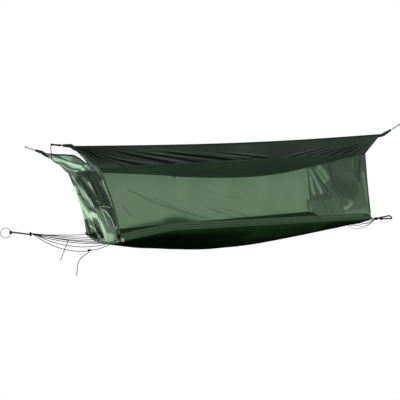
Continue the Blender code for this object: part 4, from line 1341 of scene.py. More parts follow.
# Painted light and shade on the roof's head flap: pale strokes where light falls on its folds, dark
# strokes of shade in its creases.
HEAD_FLAP_STROKES = tuple(Stroke(*row) for row in (
    (((371, 316, 481), (407, 296, 447), (447, 300, 409), (481, 319, 377)), 14, 0.12, 0.9),
    (((343, 377, 509), (350, 319, 501), (366, 265, 485)), 17, 0.34, 0.9),
    (((366, 265, 485), (441, 412, 487), (495, 414, 483)), 15, 0.26, 0.85),
    (((398, 300, 455), (421, 198, 435), (453, 88, 407), (481, -14, 383), (495, -49, 368)), 30, 0.84,
      0.97),
    (((494, 411, 474), (525, 407, 458)), 30, 0.8, 0.85),
    (((565, 403, 441), (600, 400, 430)), 30, 0.34, 0.9),
    (((408, 366, 446), (440, 241, 416), (469, 159, 389), (497, 69, 363), (510, 29, 357)), 7, 0.05, 0.95),
    (((436, 343, 420), (466, 253, 391), (494, 178, 365), (502, 92, 357)), 10, 0.66, 0.9),
    (((490, -135, 383), (495, -186, 371)), 15, 0.58, 0.85),
    (((486, -257, 376), (498, -276, 361), (510, -261, 357)), 24, 0.02, 0.9),
))


@dataclass
class Roof:
    """The roof sheet: a sagging ceiling, upright eaves and end flaps drawn to the corners."""

    thickness: float = 0.0005
    hem_width: float = 0.012
    hem_thickness: float = 0.0016
    stitch_lift: float = 0.00085
    droop: float = 0.065
    flap_rows: int = 34
    eave_columns: int = 40
    front_folds: tuple[Fold, ...] = (
        Fold(0.37, 0.15, 0.69, 1.02, 0.008, 0.006), Fold(0.46, 0.30, 0.79, 1.0, 0.006, 0.004),
        Fold(0.585, 0.20, 1.03, 1.0, 0.010, 0.009), Fold(0.70, 0.26, 1.25, 0.98, 0.009, 0.007),
        Fold(0.87, 0.27, 1.42, 0.94, 0.011, 0.009), Fold(1.06, 0.38, 1.53, 0.95, 0.008, 0.006),
        Fold(1.26, 0.43, 1.68, 0.95, 0.008, 0.005), Fold(0.40, 0.40, 0.62, 1.0, 0.007, 0.005),
        Fold(0.52, 0.50, 0.86, 1.02, 0.007, 0.005), Fold(0.95, 0.62, 1.20, 1.0, 0.006, 0.004),
        Fold(1.20, 0.62, 1.46, 1.02, 0.006, 0.004), Fold(1.62, 0.60, 1.52, 0.98, 0.006, 0.004),
        Fold(2.16, 0.50, 1.80, 1.02, 0.007, 0.005), Fold(2.28, 0.46, 1.93, 1.02, 0.007, 0.005),
        Fold(2.38, 0.42, 2.04, 1.02, 0.008, 0.007), Fold(2.46, 0.36, 2.14, 1.02, 0.008, 0.007),
        Fold(2.50, 0.40, 2.25, 1.0, 0.007, 0.006), Fold(2.52, 0.36, 2.36, 1.0, 0.006, 0.005))
    back_folds: tuple[Fold, ...] = (
        Fold(0.38, 0.18, 0.75, 1.0, 0.008, 0.006), Fold(0.52, 0.26, 1.02, 1.0, 0.010, 0.008),
        Fold(0.78, 0.30, 1.30, 0.96, 0.009, 0.007), Fold(2.44, 0.35, 2.05, 1.0, 0.008, 0.006),
        Fold(2.52, 0.40, 2.24, 1.0, 0.008, 0.006), Fold(2.30, 0.50, 1.86, 1.0, 0.007, 0.004))

    def parameters(self) -> tuple[Points, Points]:
        """u along and v across, with rows on the seams.

        Returns:
            u and v, rows by columns.
        """
        marks = []
        for share, outer, inner in ((FLAP_SHARE, self.flap_rows, 216),
                                    (EAVE_SHARE, self.eave_columns, 52)):
            marks.append(np.concatenate([np.linspace(0, share, outer)[:-1],
                                         np.linspace(share, 1 - share, inner)[:-1],
                                         np.linspace(1 - share, 1, outer)]))
        return grid(*marks)

    def surface(self) -> tuple[Points, Points, Points, Points]:
        """The points, their tone of painted light and shade, and the signed shares out on the flap and up
        the eave.

        The seam line's x and the ceiling go to the end's edge by the flap's share, then both
        go to the eave's height by the eave's share; folds move the eave outwards.

        Returns:
            The four arrays, rows by columns.
        """
        u, v = self.parameters()
        flap = np.where(u < FLAP_SHARE, (u - FLAP_SHARE) / FLAP_SHARE,
                        np.maximum(0.0, (u - 1 + FLAP_SHARE) / FLAP_SHARE))
        eave = np.where(v < EAVE_SHARE, (v - EAVE_SHARE) / EAVE_SHARE,
                        np.maximum(0.0, (v - 1 + EAVE_SHARE) / EAVE_SHARE))
        inner_u = np.clip((u - FLAP_SHARE) / (1 - 2 * FLAP_SHARE), 0.0, 1.0)
        inner_v = np.clip((v - EAVE_SHARE) / (1 - 2 * EAVE_SHARE), 0.0, 1.0)
        y = mix(-HALF_WIDTH, HALF_WIDTH, inner_v) + EAVE_REACH * eave
        seam_x = mix(SEAM_HEAD_X, SEAM_FOOT_X, inner_u)
        across = (y + ROOF_HALF_WIDTH) / (2 * ROOF_HALF_WIDTH)
        edge_x, edge_z = self._edge(across, flap <= 0)
        x = mix(seam_x, edge_x, np.abs(flap))
        z = mix(ceiling_height(seam_x, y), edge_z, np.abs(flap))
        droop = self.droop * np.clip((x - 0.55) / 0.10, 0.0, 1.0) ** 1.5
        droop = droop * np.clip((1.0 - x) / 0.3, 0.0, 1.0) * (y > 0.0)
        z = mix(z, eave_height(x, across) - droop, np.abs(eave))
        down = 1.0 - np.abs(eave)
        # Painted shade: the eaves get a darker tone than the ceiling, and each fold a painted highlight
        # on its ridge and painted shade in its valley.
        relief, tone = np.zeros_like(x), np.where(eave == 0, 0.135, 0.054)
        for sign, folds in ((-1.0, self.front_folds), (1.0, self.back_folds)):
            side = (eave * sign > 0)
            for fold in folds:
                depth, shade = fold.relief_and_tone(x, down)
                relief += np.where(side, depth * sign, 0.0)
                tone += np.where(side, 0.075 * np.maximum(-0.72, shade), 0.0)
        ease = 4.0 * down * (1.0 - down) * np.where(eave == 0, 0.0, 1.0)
        y = y + relief * np.minimum(1.0, 1.6 * ease)
        rows = ripple(11, 7, 2.0, 9.0)
        soft = sum_of_sines(rows, x * 0.8, y * 1.6)
        inside = (rise(0.0, 0.1, 0.5 - np.abs(inner_v - 0.5))
                  * rise(0.0, 0.06, 0.5 - np.abs(inner_u - 0.5)))
        z = z + 0.004 * soft * inside
        # Painted shade: the front eave darkens towards the head, and the tone follows the soft ripples as
        # light and shade.
        shaded = np.where(eave < 0, mix(0.3, 1.0, rise(0.42, 0.85, x)), 1.0)
        tone = tone * (1.0 + 0.25 * soft) * shaded
        return np.stack([x, y, z], axis=-1), tone, flap, eave

    @staticmethod
    def _edge(across: Points, head: Points) -> tuple[Points, Points]:
        """x and height of an end's edge, which dips between its corners by a squared sine.

        Args:
            across: 0 at the front corner, 1 at the back.
            head: True at the head's end.

        Returns:
            x and height.
        """
        head_dip = np.sin(np.pi * across ** 0.625) ** 2
        foot_dip = np.maximum(0.0, np.sin(np.pi * across)) ** 1.4
        lift = HEAD_BACK_LIFT * np.maximum(0.0, 2.0 * across - 1.0)
        x = np.where(head, ROOF_HEAD_X + HEAD_EDGE_PULL_IN * head_dip,
                     ROOF_FOOT_X - FOOT_EDGE_PULL_IN * foot_dip)
        z = np.where(head, EAVE_HEAD + lift - HEAD_EDGE_DIP * head_dip,
                     EAVE_FOOT - FOOT_EDGE_DIP * foot_dip)
        return x, z

    def build(self) -> None:
        """Makes the sheet, its hemmed border and its seams' stitches."""
        points, tone, flap, eave = self.surface()
        # Painted light: near the head flap the tone is set to a middle value and painted with the lit and
        # shaded strokes.
        near_head = rise(0.72, 0.60, points[..., 0]) * rise(-0.40, -0.34, points[..., 1])
        tone = mix(tone, 0.16, near_head)
        lit, relief = paint(tone, points, HEAD_FLAP_STROKES)
        tone = mix(tone, lit, near_head)
        points[..., 2] += relief * near_head * np.where(flap < 0, 1.0, 0.0)
        out = -np.minimum(flap, 0.0)
        swell = 0.006 * np.sin(2.0 * np.pi * (1.6 * out + 2.0 * points[..., 1]))
        swell = swell * np.where(flap < 0, 4.0 * out * (1.0 - out), 0.0)
        points[..., 2] += swell * (1 - np.abs(eave))
        uv = np.stack([points[..., 0], points[..., 1] + EAVE_FACE * eave], axis=-1)
        sheet = cloth("roof_cloth", points, uv, tone, self.thickness, ROOF_CLOTH, "hammock", "roof_sheet")
        self._border(points)
        seam = slice(self.flap_rows - 1, 1 - self.flap_rows)
        for side, column, out in (("front", self.eave_columns - 1, -0.0006),
                                  ("back", -self.eave_columns, 0.0006)):
            stitches(f"roof_seam_stitches_{side}", points[seam, column] + [0.0, out, 0.0],
                     "hammock", SEAM_PITCH)

    def _border(self, points: Points) -> None:
        """A narrow tape folded over each edge of the sheet, with a row of stitches.

        Args:
            points: the sheet's grid.
        """
        edges = {"front": (points[:, 0], points[:, 2]), "back": (points[:, -1], points[:, -3]),
                 "head": (points[0], points[2]), "foot": (points[-1], points[-3])}
        for name, (edge, inner) in edges.items():
            inward = unit(inner - edge)
            path = edge + inward * self.hem_width * 0.42
            dress(strap(f"roof_hem_{name}", path, self.hem_width, self.hem_thickness, inward),
                  ROOF_HEM, "hammock")
            side = np.cross(unit(np.gradient(edge, axis=0)), inward)
            row = path + inward * self.hem_width * 0.3
            for face, way in (("under", -1.0), ("over", 1.0)):
                stitches(f"roof_hem_{name}_stitches_{face}", row + way * self.stitch_lift * side,
                         "hammock", SEAM_PITCH, across=(0.1, 0.2, 1.0))


@dataclass
class Bed:
    """The bed cloth, the webbing along its sides and the gathered sleeves at its ends."""

    thickness: float = 0.0006
    edge_thickness: float = 0.0022
    edge_stitch: float = 0.0055
    sleeve_overhang: float = 0.0022
    sleeve_sides: int = 24

    def points(self) -> tuple[Points, Points]:
        """The trough, a rim less a parabola across and a skewed sine along, with its tone of painted
        light and shade.

        Returns:
            The points and their tone.
        """
        u, v = grid(np.linspace(0.0, 1.0, 250), np.linspace(0.0, 1.0, 96))
        inset = HEM_RADIUS - 0.002
        x = mix(RING_TO_BED + inset, BED_FOOT_X - inset, u)
        y = mix(-HALF_WIDTH, HALF_WIDTH, v)
        along = (x - RING_TO_BED) / BED_LENGTH
        rim = mix(rim_front(x), rim_back(x), v)
        hang = mix(HEAD_HEM_SAG, FOOT_HEM_SAG, along) + BED_SAG * np.sin(np.pi * along ** 0.8)
        bowl = 4.0 * v * (1.0 - v)
        crease = 0.004 * np.sin(8.0 * np.pi * v) * (1.0 - along) ** 2 * bowl * np.sin(np.pi * along)
        rows = ripple(23, 9, 3.0, 14.0)
        slack = sum_of_sines(rows, x * 0.35 + y * 0.2, y * 1.5 - x * 0.5)
        pull = sum_of_sines(ripple(31, 6, 6.0, 16.0), y * 1.4, 0.05 * x) * (
            np.exp(-((along / 0.12) ** 2)) + np.exp(-(((1.0 - along) / 0.12) ** 2)))
        ease = np.minimum(1.0, 6.0 * v * (1.0 - v)) * np.minimum(1.0, 14.0 * u * (1.0 - u))
        z = rim - (WEBBING_HEIGHT / 2 - 0.003) - hang * bowl + crease
        z = z + ease * (0.0035 * slack + 0.006 * pull)
        # Painted light and shade: lighter on the crests of the wrinkles, darker towards the head, with a
        # painted highlight along the front rim and a painted patch of light on the front past the middle.
        tone = 0.16 + 0.5 * np.maximum(0.0, slack) ** 1.5 + 0.2 * np.maximum(0.0, pull)
        tone = tone * (0.45 + 0.55 * rise(1.0, 1.9, x)) + 0.6 * np.exp(-((v / 0.05) ** 2))
        tone = tone + 0.34 * np.exp(-(((x - 1.78) / 0.34) ** 2 + ((v - 0.10) / 0.11) ** 2))
        return np.stack([x, y, z], axis=-1), tone

    def build(self) -> None:
        """Makes the cloth, its edge webbings and its hems."""
        points, tone = self.points()
        uv = np.stack([points[..., 0], points[..., 1] * 1.1], axis=-1)
        sheet = cloth("bed_cloth", points, uv, tone, self.thickness, BED_OUTSIDE_SHADED, "hammock",
                      "bed", inner_side=BED_INSIDE_LIT)
        x = np.linspace(RING_TO_BED + HEM_RADIUS + GAP, BED_FOOT_X - HEM_RADIUS - GAP, 200)
        for side, heights, y in (("front", rim_front(x), -HALF_WIDTH),
                                 ("back", rim_back(x), HALF_WIDTH)):
            path = np.stack([x, np.full_like(x, y), heights], axis=1)
            band = strap(f"{side}_edge_band", path, WEBBING_HEIGHT, self.edge_thickness, (0.0, 0.0, 1.0))
            dress(band, BED_EDGE, "hammock", f"{side}_edge_webbing")
            out = path + [0.0, 0.0012 if y > 0 else -0.0012, 0.0]
            for level, lift in (("low", -self.edge_stitch), ("high", self.edge_stitch)):
                stitches(f"{side}_edge_stitches_{level}", out + [0.0, 0.0, lift], "hammock")
        self._hem(True)
        self._hem(False)

    def _hem(self, head: bool) -> None:
        """A gathered sleeve: a tube whose radius ripples along it as a sum of sines.

        Args:
            head: True at the head's end.
        """
        end = "head" if head else "foot"
        reach = HALF_WIDTH + self.sleeve_overhang
        y = np.linspace(-reach, reach, 420)
        middle = RING_TO_BED if head else BED_FOOT_X
        path = np.stack([np.full_like(y, middle), y, hem_height(y, head)], axis=1)
        gather = sum_of_sines(ripple(41 if head else 43, 8, 20.0, 90.0), y, 0.0 * y)
        radius = HEM_RADIUS + 0.0011 * gather
        ends = np.clip((reach - np.abs(y)) / 0.004, 0.0, 1.0)
        sleeve = tube(f"{end}_hem_sleeve", path, radius * np.sqrt(0.3 + 0.7 * ends),
                      self.sleeve_sides, upright=(1.0, 0.0, 0.0))
        if head:
            # Painted light and shade: the head sleeve is lit towards the front, shaded towards the back,
            # and lighter on each gather's bulge.
            shade = rise(0.30, 0.12, y) * (0.32 + 0.22 * gather)
            tint(sleeve, np.repeat(np.clip(shade, 0.0, 1.0), self.sleeve_sides))
        dress(sleeve, HEAD_HEM if head else BED_EDGE, "hammock", f"{end}_hem")
        ring = np.stack([path[:, 0] + (-0.0084 if head else 0.0084), path[:, 1],
                         path[:, 2] + 0.002], axis=1)
        stitches(f"{end}_hem_stitches", ring, "hammock", SEAM_PITCH)


# Painted light and shade on the head net: pale strokes of light on its folds and dark strokes of shade in
# its creases.
HEAD_PANEL_STROKES = tuple(Stroke(*row) for row in (
    (((89, 39), (58, 110), (39, 186), (31, 258), (23, 332)), 39.5, 0.1, 0.9),
    (((159, 14), (101, 27), (33, 32), (15, 69)), 21.1, 0.12, 0.8),
    (((170, 50), (149, 114), (127, 176), (99, 225)), 29, 0.1, 0.9),
    (((250, 0), (250, 52), (248, 110), (229, 156)), 12.7, 0.14, 0.9),
    (((223, 29), (200, 92), (177, 156), (151, 213), (122, 252)), 10.5, 0.68, 0.85),
    (((116, 80), (99, 121), (84, 167)), 8.9, 0.62, 0.8),
    (((250, 112), (250, 188), (237, 245), (209, 300), (183, 318)), 22.1, 0.8, 0.95),
    (((250, 231), (250, 299), (240, 348)), 9.5, 0.72, 0.9),
    (((169, 288), (126, 302), (107, 350), (94, 408), (95, 449)), 17.9, 0.86, 0.95),
    (((167, 325), (149, 378), (124, 417), (104, 454)), 11.6, 0.04, 0.95),
    (((231, 362), (221, 417), (207, 454)), 12.7, 0.08, 0.95),
    (((224, 366), (180, 392), (138, 431)), 4.8, 0.7, 0.9),
    (((217, 392), (192, 435)), 3.7, 0.6, 0.8),
    (((159, 412), (139, 456)), 13.7, 0.3, 0.7),
    (((199, 460), (177, 433), (169, 460)), 17.9, 0.0, 0.95),
    (((81, 291), (55, 346), (37, 398)), 26.3, 0.34, 0.8),
    (((78, 419), (46, 430), (65, 460), (109, 460)), 21.1, 0.66, 0.85),
    (((4, 80), (5, 124), (0, 181), (0, 242), (0, 318), (1, 387)), 4.8, 0.6, 0.85),
    (((11, 217), (4, 263), (4, 322), (7, 369)), 4.3, 0.06, 0.8),
    (((82, 222), (51, 268), (32, 320), (21, 371)), 3.1, 0.72, 0.8),
    (((97, 231), (81, 291), (70, 361)), 3.1, 0.62, 0.7),
    (((107, 196), (78, 227), (21, 247)), 2.6, 0.66, 0.7),
    (((163, 213), (138, 247), (121, 266)), 3.1, 0.8, 0.7),
    (((229, 156), (206, 197), (177, 236), (151, 265), (123, 274)), 4.8, 0.12, 0.85),
    (((0, 398), (0, 441)), 10.5, 0.0, 0.9),
))


# Painted shade: the top edge of a dark band painted along the back net's foot, for the bed's side and its
# shade seen through the net.
BACK_SHADE_X = (0.60, 0.86, 0.915, 1.015, 1.115, 1.175, 1.235, 1.317, 1.373, 1.478, 1.585, 1.66,
                1.775, 1.877, 2.05, 2.17, 2.292, 2.465)
BACK_SHADE_Z = (-0.130, -0.105, -0.059, -0.044, -0.032, -0.026, -0.006, -0.008, -0.022, -0.050,
                -0.060, -0.070, -0.062, -0.060, -0.069, -0.062, -0.066, -0.075)

# Painted shade in the entry net's creases, and a few lighter strokes of painted light.
FRONT_NET_STROKES = tuple(Stroke(*row) for row in (
    (((682, 217), (800, 151), (922, 96), (1050, 46), (1163, 14)), 4.5, 0.04, 0.9),
    (((850, 156), (965, 92), (1085, 40), (1208, 1)), 3.5, 0.08, 0.8),
    (((1210, 68), (1288, 24)), 3.5, 0.08, 0.8),
    (((552, 214), (620, 140), (710, 34)), 5, 0.1, 0.8),
    (((557, 275), (590, 181), (633, 101)), 7, 0.62, 0.7),
    (((1203, 68), (1328, 18), (1420, -24)), 4, 0.08, 0.8),
    (((1302, 60), (1422, 19), (1515, -22)), 3.5, 0.1, 0.8),
    (((1195, 190), (1337, 133), (1458, 116)), 4, 0.18, 0.7),
    (((1565, 151), (1765, 165)), 5, 0.5, 0.7),
    (((1438, 234), (1650, 231)), 5, 0.5, 0.7),
))

# Painted light and shade on the foot net: pale strokes of light on its folds and dark strokes of shade in
# its creases.
FOOT_PANEL_STROKES = tuple(Stroke(*row) for row in (
    (((334, 69), (249, 48), (174, 48)), 58.7, 0.36, 0.8),
    (((435, 28), (423, 102), (404, 159)), 20, 0.2, 0.8),
    (((381, 168), (289, 201), (167, 222)), 64.6, 0.24, 0.8),
    (((120, 17), (122, 63), (134, 131)), 11.7, 0.2, 0.7),
    (((66, 25), (80, 91), (101, 161)), 17.6, 0.14, 0.8),
    (((150, 17), (153, 69)), 8.2, 0.58, 0.7),
    (((101, 46), (106, 88)), 5.3, 0.46, 0.6),
    (((40, 128), (31, 208), (26, 262), (19, 317)), 11.7, 0.8, 0.9),
    (((2, 21), (5, 91)), 7, 0.16, 0.8),
    (((588, 19), (524, 66), (489, 117)), 26, 0.92, 0.9),
    (((722, 33), (705, 123), (696, 199), (677, 248)), 23, 0.98, 0.95),
    (((689, 41), (647, 123), (602, 186), (583, 228)), 18, 1.0, 0.95),
    (((644, 34), (571, 92), (527, 145)), 16.5, 0.96, 0.95),
    (((635, 167), (625, 199)), 10.6, 0.92, 0.8),
    (((734, 12), (731, 123), (736, 234), (741, 440)), 5.3, 0.04, 0.95),
    (((715, 51), (675, 134), (649, 200), (625, 274)), 4.7, 0.1, 0.85),
    (((687, 25), (618, 123), (569, 185), (550, 230)), 4.7, 0.1, 0.85),
    (((661, 22), (574, 113), (522, 170), (491, 214)), 5.3, 0.06, 0.9),
    (((698, 287), (583, 269), (458, 241)), 29.3, 0.3, 0.7),
    (((296, 338), (252, 330), (216, 308)), 15, 1.0, 0.95),
    (((242, 288), (221, 298)), 8.2, 0.74, 0.8),
    (((284, 374), (197, 371), (49, 385)), 21.1, 0.72, 0.85),
    (((583, 269), (590, 332), (604, 404)), 4.7, 0.46, 0.6),
    (((461, 337), (437, 372)), 11.7, 0.46, 0.6),
    (((722, 323), (736, 389), (745, 440)), 3.5, 0.95, 0.9),
))


@dataclass
class NetWalls:
    """The four net walls of the box, the front one on the entry's hinge."""

    tuck: float = 0.003
    billow: float = 0.004
    head_fold: float = 0.013
    foot_fold: float = 0.008

    def build(self) -> None:
        """Makes the front, back, head and foot walls."""
        self._front()
        self._back()
        self._end(True)
        self._end(False)

    @staticmethod
    def _between(z: Points, u: Points, inset: float = 0.0) -> Points:
        """x at a share u of the way from the head wall to the foot wall, at a height."""
        return mix(corner_x(z, True) + inset, corner_x(z, False) - inset, u)

    def _front(self) -> None:
        """The entry net: flat, with faint diagonal creases where it was folded, painted as dark lines of
        shade, and a few painted lighter streaks.
        """
        u, v = grid(np.linspace(0.0, 1.0, 260), np.linspace(0.0, 1.0, 60))
        inset = TAPE_HEIGHT + GAP
        x = self._between(np.full_like(u, 0.1), u, inset)
        for _ in range(3):
            top = seam_height(x, np.full_like(u, -HALF_WIDTH)) - DOOR_TOP
            z = mix(top, rim_front(x) + DOOR_BOTTOM, v)
            x = self._between(z, u, inset)
        ease = np.minimum(1.0, 8.0 * u * (1.0 - u)) * 4.0 * v * (1.0 - v)
        out = np.abs(self.billow * ease * np.sin(2.0 * np.pi * (3.5 * u + 0.6 * v)))
        # Painted shade: the creases are dark strokes, and the dense mark makes them more opaque.
        tone, _ = paint(np.full_like(x, 0.30), np.stack([x, z], axis=-1), FRONT_NET_STROKES)
        dense = 1.6 * np.maximum(0.0, 0.30 - tone) + 0.25 * np.exp(-((v / 0.02) ** 2))
        points = np.stack([x, -HALF_WIDTH - out, z], axis=-1)
        net = cloth("front_net", points, np.stack([x, z], -1), tone, 0.0, FRONT_NET, "entry_net",
                    "front_net_wall", dense=dense)
        stitches("front_net_seam_stitches", points[:, 1] - [0.0, 0.001, 0.0], "entry_net", SEAM_PITCH)

    def _back(self) -> None:
        """The back net: soft shadows of the roof painted in its upper part, and a gentle billow."""
        u, v = grid(np.linspace(0.0, 1.0, 260), np.linspace(0.0, 1.0, 60))
        x = mix(SEAM_HEAD_X, SEAM_FOOT_X, u)
        back = np.full_like(u, HALF_WIDTH)
        for _ in range(3):
            z = mix(seam_height(x, back), rim_back(x) + WEBBING_HEIGHT / 2 - self.tuck, v)
            x = self._between(z, u)
        ease = np.minimum(1.0, 8.0 * u * (1.0 - u)) * 4.0 * v * (1.0 - v)
        out = self.billow * ease * np.sin(2.0 * np.pi * (4.0 * u - 0.5 * v))
        soft = sum_of_sines(ripple(61, 8, 1.0, 6.0), x, z * 1.5)
        # Painted shadow of the roof: the tone darkens towards the top.
        tone = 0.80 + 0.10 * soft - 0.18 * rise(0.35, 0.0, v)
        # Painted shade: below a ragged edge the net is darkened and made opaque.
        ragged = 0.006 * sum_of_sines(ripple(63, 10, 8.0, 60.0), x, z)
        edge = np.interp(x, BACK_SHADE_X, BACK_SHADE_Z) + ragged
        shade = 1.0 / (1.0 + np.exp((z - edge) / 0.010))
        tone = tone * (1.0 - 0.82 * shade)
        points = np.stack([x, HALF_WIDTH + out, z], axis=-1)
        net = cloth("back_net", points, np.stack([x, z], -1), tone, 0.0, BACK_NET, "hammock",
                    "back_net_wall", dense=shade)
        stitches("back_net_seam_stitches", points[:, 1] + [0.0, 0.001, 0.0], "hammock", SEAM_PITCH)

    def _end(self, head: bool) -> None:
        """An end net: slanting folds, sin(2 pi 4.5 s) + .45 sin(2 pi 9 s + 1), s = u + .3 v.

        Args:
            head: True at the head's end.
        """
        u, v = grid(np.linspace(0.0, 1.0, 220), np.linspace(0.0, 1.0, 140))
        side = HALF_WIDTH - 0.0004
        y = mix(-side, side, u)
        seam_x = SEAM_HEAD_X if head else SEAM_FOOT_X
        across = (y + HALF_WIDTH) / BED_WIDTH
        sag = HEAD_HEM_SAG if head else FOOT_HEM_SAG
        lean = 4.0 * sag * (1.0 - 2.0 * across) / BED_WIDTH
        bottom = hem_height(y, head) + HEM_RADIUS * np.sqrt(1.0 + lean ** 2) - self.tuck
        z = mix(seam_height(np.full_like(y, seam_x), y), bottom, v)
        x = corner_x(z, head)
        ease = np.minimum(1.0, 5.0 * u * (1.0 - u)) * np.minimum(1.0, 6.0 * v * (1.0 - v))
        slant = u + 0.30 * v
        fold = np.sin(2.0 * np.pi * 4.5 * slant) + 0.45 * np.sin(2.0 * np.pi * 9.0 * slant + 1.0)
        depth = self.head_fold if head else self.foot_fold
        x = x + depth * ease * fold * 0.7
        if head:
            crumple = sum_of_sines(ripple(71, 14, 8.0, 40.0), slant, v * 0.22)
            x = x + 0.006 * crumple * ease
            tone, relief = self._head_tone(u, v, crumple)
            x = x - relief * ease
            dense = np.clip(0.5 * crumple, 0.0, 1.0)
        else:
            near = np.exp(-(((1.0 - u) ** 2 + 0.5 * v ** 2) / 0.30))
            tone, relief = self._foot_tone(u, v, near)
            x = x + relief * ease
            dense = np.zeros_like(u)
        points = np.stack([x, y, z], axis=-1)
        end, finish = ("head", HEAD_NET) if head else ("foot", FOOT_NET)
        net = cloth(f"{end}_end_net", points, np.stack([y, z], -1), tone, 0.0, finish, "hammock",
                    f"{end}_end_panel", dense=dense)

    @staticmethod
    def _head_tone(u: Points, v: Points, crumple: Points) -> tuple[Points, Points]:
        """Lit folds and shaded creases painted over a middle tone that fine ripples along s = u + .45 v
        break up.

        Args:
            u, v: shares across and down.
            crumple: the panel's crumpling.

        Returns:
            The tone and the relief.
        """
        slant = u + 0.45 * v
        lines = sum_of_sines(ripple(77, 12, 12.0, 46.0), slant, v * 0.15)
        where = np.stack([u * 0.25, v * 0.46], axis=-1)
        tone, relief = paint(np.full_like(u, 0.34), where, HEAD_PANEL_STROKES)
        # The crumples' bulges are painted lighter.
        tone = tone * (1.0 + 0.5 * lines) + 0.10 * crumple
        return np.clip(tone, 0.0, 1.0) ** 1.8, relief

    @staticmethod
    def _foot_tone(u: Points, v: Points, near: Points) -> tuple[Points, Points]:
        """Lit folds and shaded creases painted over a middle green that lightens towards the bottom, with
        the painted light and shade of fine pleats that fan from the back corner.

        Args:
            u, v: shares across and down.
            near: how near the back corner is, 0 to 1.

        Returns:
            The tone and the relief.
        """
        fan = np.arctan2(v + 0.12, 1.04 - u)
        pleat = np.sin(2.0 * np.pi * (13.0 * fan + 0.6 * np.sin(3.0 * fan)))
        soft = sum_of_sines(ripple(83, 9, 3.0, 12.0), u + 0.2 * v, v * 0.5)
        where = np.stack([u * 0.75, v * 0.44], axis=-1)
        tone, relief = paint(0.34 + 0.06 * soft + 0.18 * v, where, FOOT_PANEL_STROKES)
        return np.clip(tone * (1.0 + 0.25 * near * pleat), 0.0, 1.0) ** 1.3, relief


@dataclass
class EntryZip:
    """The zip: tape on the bed's side and the net's side, corner tapes, teeth, slider, pulls."""

    thickness: float = 0.0016
    teeth_pitch: float = 0.003
    tooth: Place = (0.0016, 0.0024, 0.0007)
    teeth_inset: float = 0.0016
    sewn_inset: float = 0.0022
    bed_tape: tuple[float, float] = (0.6078, 2.5022)
    net_tape: tuple[float, float] = (0.6143, 2.4696)

    def build(self) -> None:
        """Makes the tapes and teeth and dresses the slider and its pulls."""
        low = WEBBING_HEIGHT / 2 + GAP
        self._rim("bed_zip_tape", "bed_side_zip_tape", "hammock", self.bed_tape, low, 1.0)
        self._rim("net_zip_tape", "net_side_zip_tape", "entry_net", self.net_tape,
                  low + TAPE_HEIGHT + ZIP_SLOT, -1.0)
        self._corner(True)
        self._corner(False)
        for node in ("zip_slider", "outer_zip_pull", "inner_zip_pull"):
            for slot in bpy.data.objects[node].material_slots:
                slot.material = COATED_STEEL.build()

    def _tape(self, name: str, stem: str, path: Points, wide: Sequence[float], teeth_side: float,
              body: str, node: str) -> None:
        """A tape with its teeth beside the slot and a row of stitches along its other edge.

        Args:
            name: its name.
            stem: how its teeth's and stitches' names begin.
            path: its centreline, n by 3.
            wide: the direction of its width.
            teeth_side: 1 or -1, the side of that direction with the teeth.
            body: what it rides on.
            node: the CAD node it replaces.
        """
        wide = np.asarray(wide)
        dress(strap(name, path, TAPE_HEIGHT, self.thickness, wide), TAPE, body, node)
        edge = teeth_side * (TAPE_HEIGHT / 2 - self.teeth_inset) * wide
        centres, ways = spaced(path + edge - [0.0, 0.0006, 0.0], self.teeth_pitch)
        teeth = blocks(f"{stem}_teeth", centres, ways, np.broadcast_to(wide, ways.shape), self.tooth)
        dress(teeth, TEETH, body)
        sewn = -teeth_side * (TAPE_HEIGHT / 2 - self.sewn_inset) * wide
        stitches(f"{stem}_stitches", path + sewn - [0.0, 0.0009, 0.0], body, across=tuple(wide))

    def _rim(self, name: str, node: str, body: str, ends: tuple[float, float], low: float,
             teeth_side: float) -> None:
        """A tape that runs a fixed height over the bed's front rim.

        Args:
            name: its name.
            node: the CAD node it replaces.
            body: what it rides on.
            ends: x where it starts and ends.
            low: its lower edge over the rim.
            teeth_side: 1 for teeth on top, -1 for teeth below.
        """
        x = np.linspace(*ends, 200)
        middle = rim_front(x) + low + TAPE_HEIGHT / 2
        path = np.stack([x, np.full_like(x, -HALF_WIDTH), middle], axis=1)
        self._tape(name, name, path, (0.0, 0.0, 1.0), teeth_side, body, node)

    def _corner(self, head: bool) -> None:
        """The tape up a corner, between the seam and the bed's own tape.

        Args:
            head: True at the head's end.
        """
        end_x = RING_TO_BED if head else BED_FOOT_X
        seam_x = SEAM_HEAD_X if head else SEAM_FOOT_X
        top = float(seam_height(np.array(seam_x), np.array(-HALF_WIDTH))) - DOOR_TOP
        z = np.linspace(top, float(rim_front(np.array(end_x))) + DOOR_BOTTOM, 70)
        outward = -1.0 if head else 1.0
        middle = outward * (0.001 + GAP - TAPE_HEIGHT) / 2
        path = np.stack([corner_x(z, head) + middle, np.full_like(z, -HALF_WIDTH), z], axis=1)
        end = "head" if head else "foot"
        self._tape(f"{end}_corner_tape", f"{end}_corner", path, (1.0, 0.0, 0.0), -outward,
                   "hammock", f"{end}_corner_zip_tape")


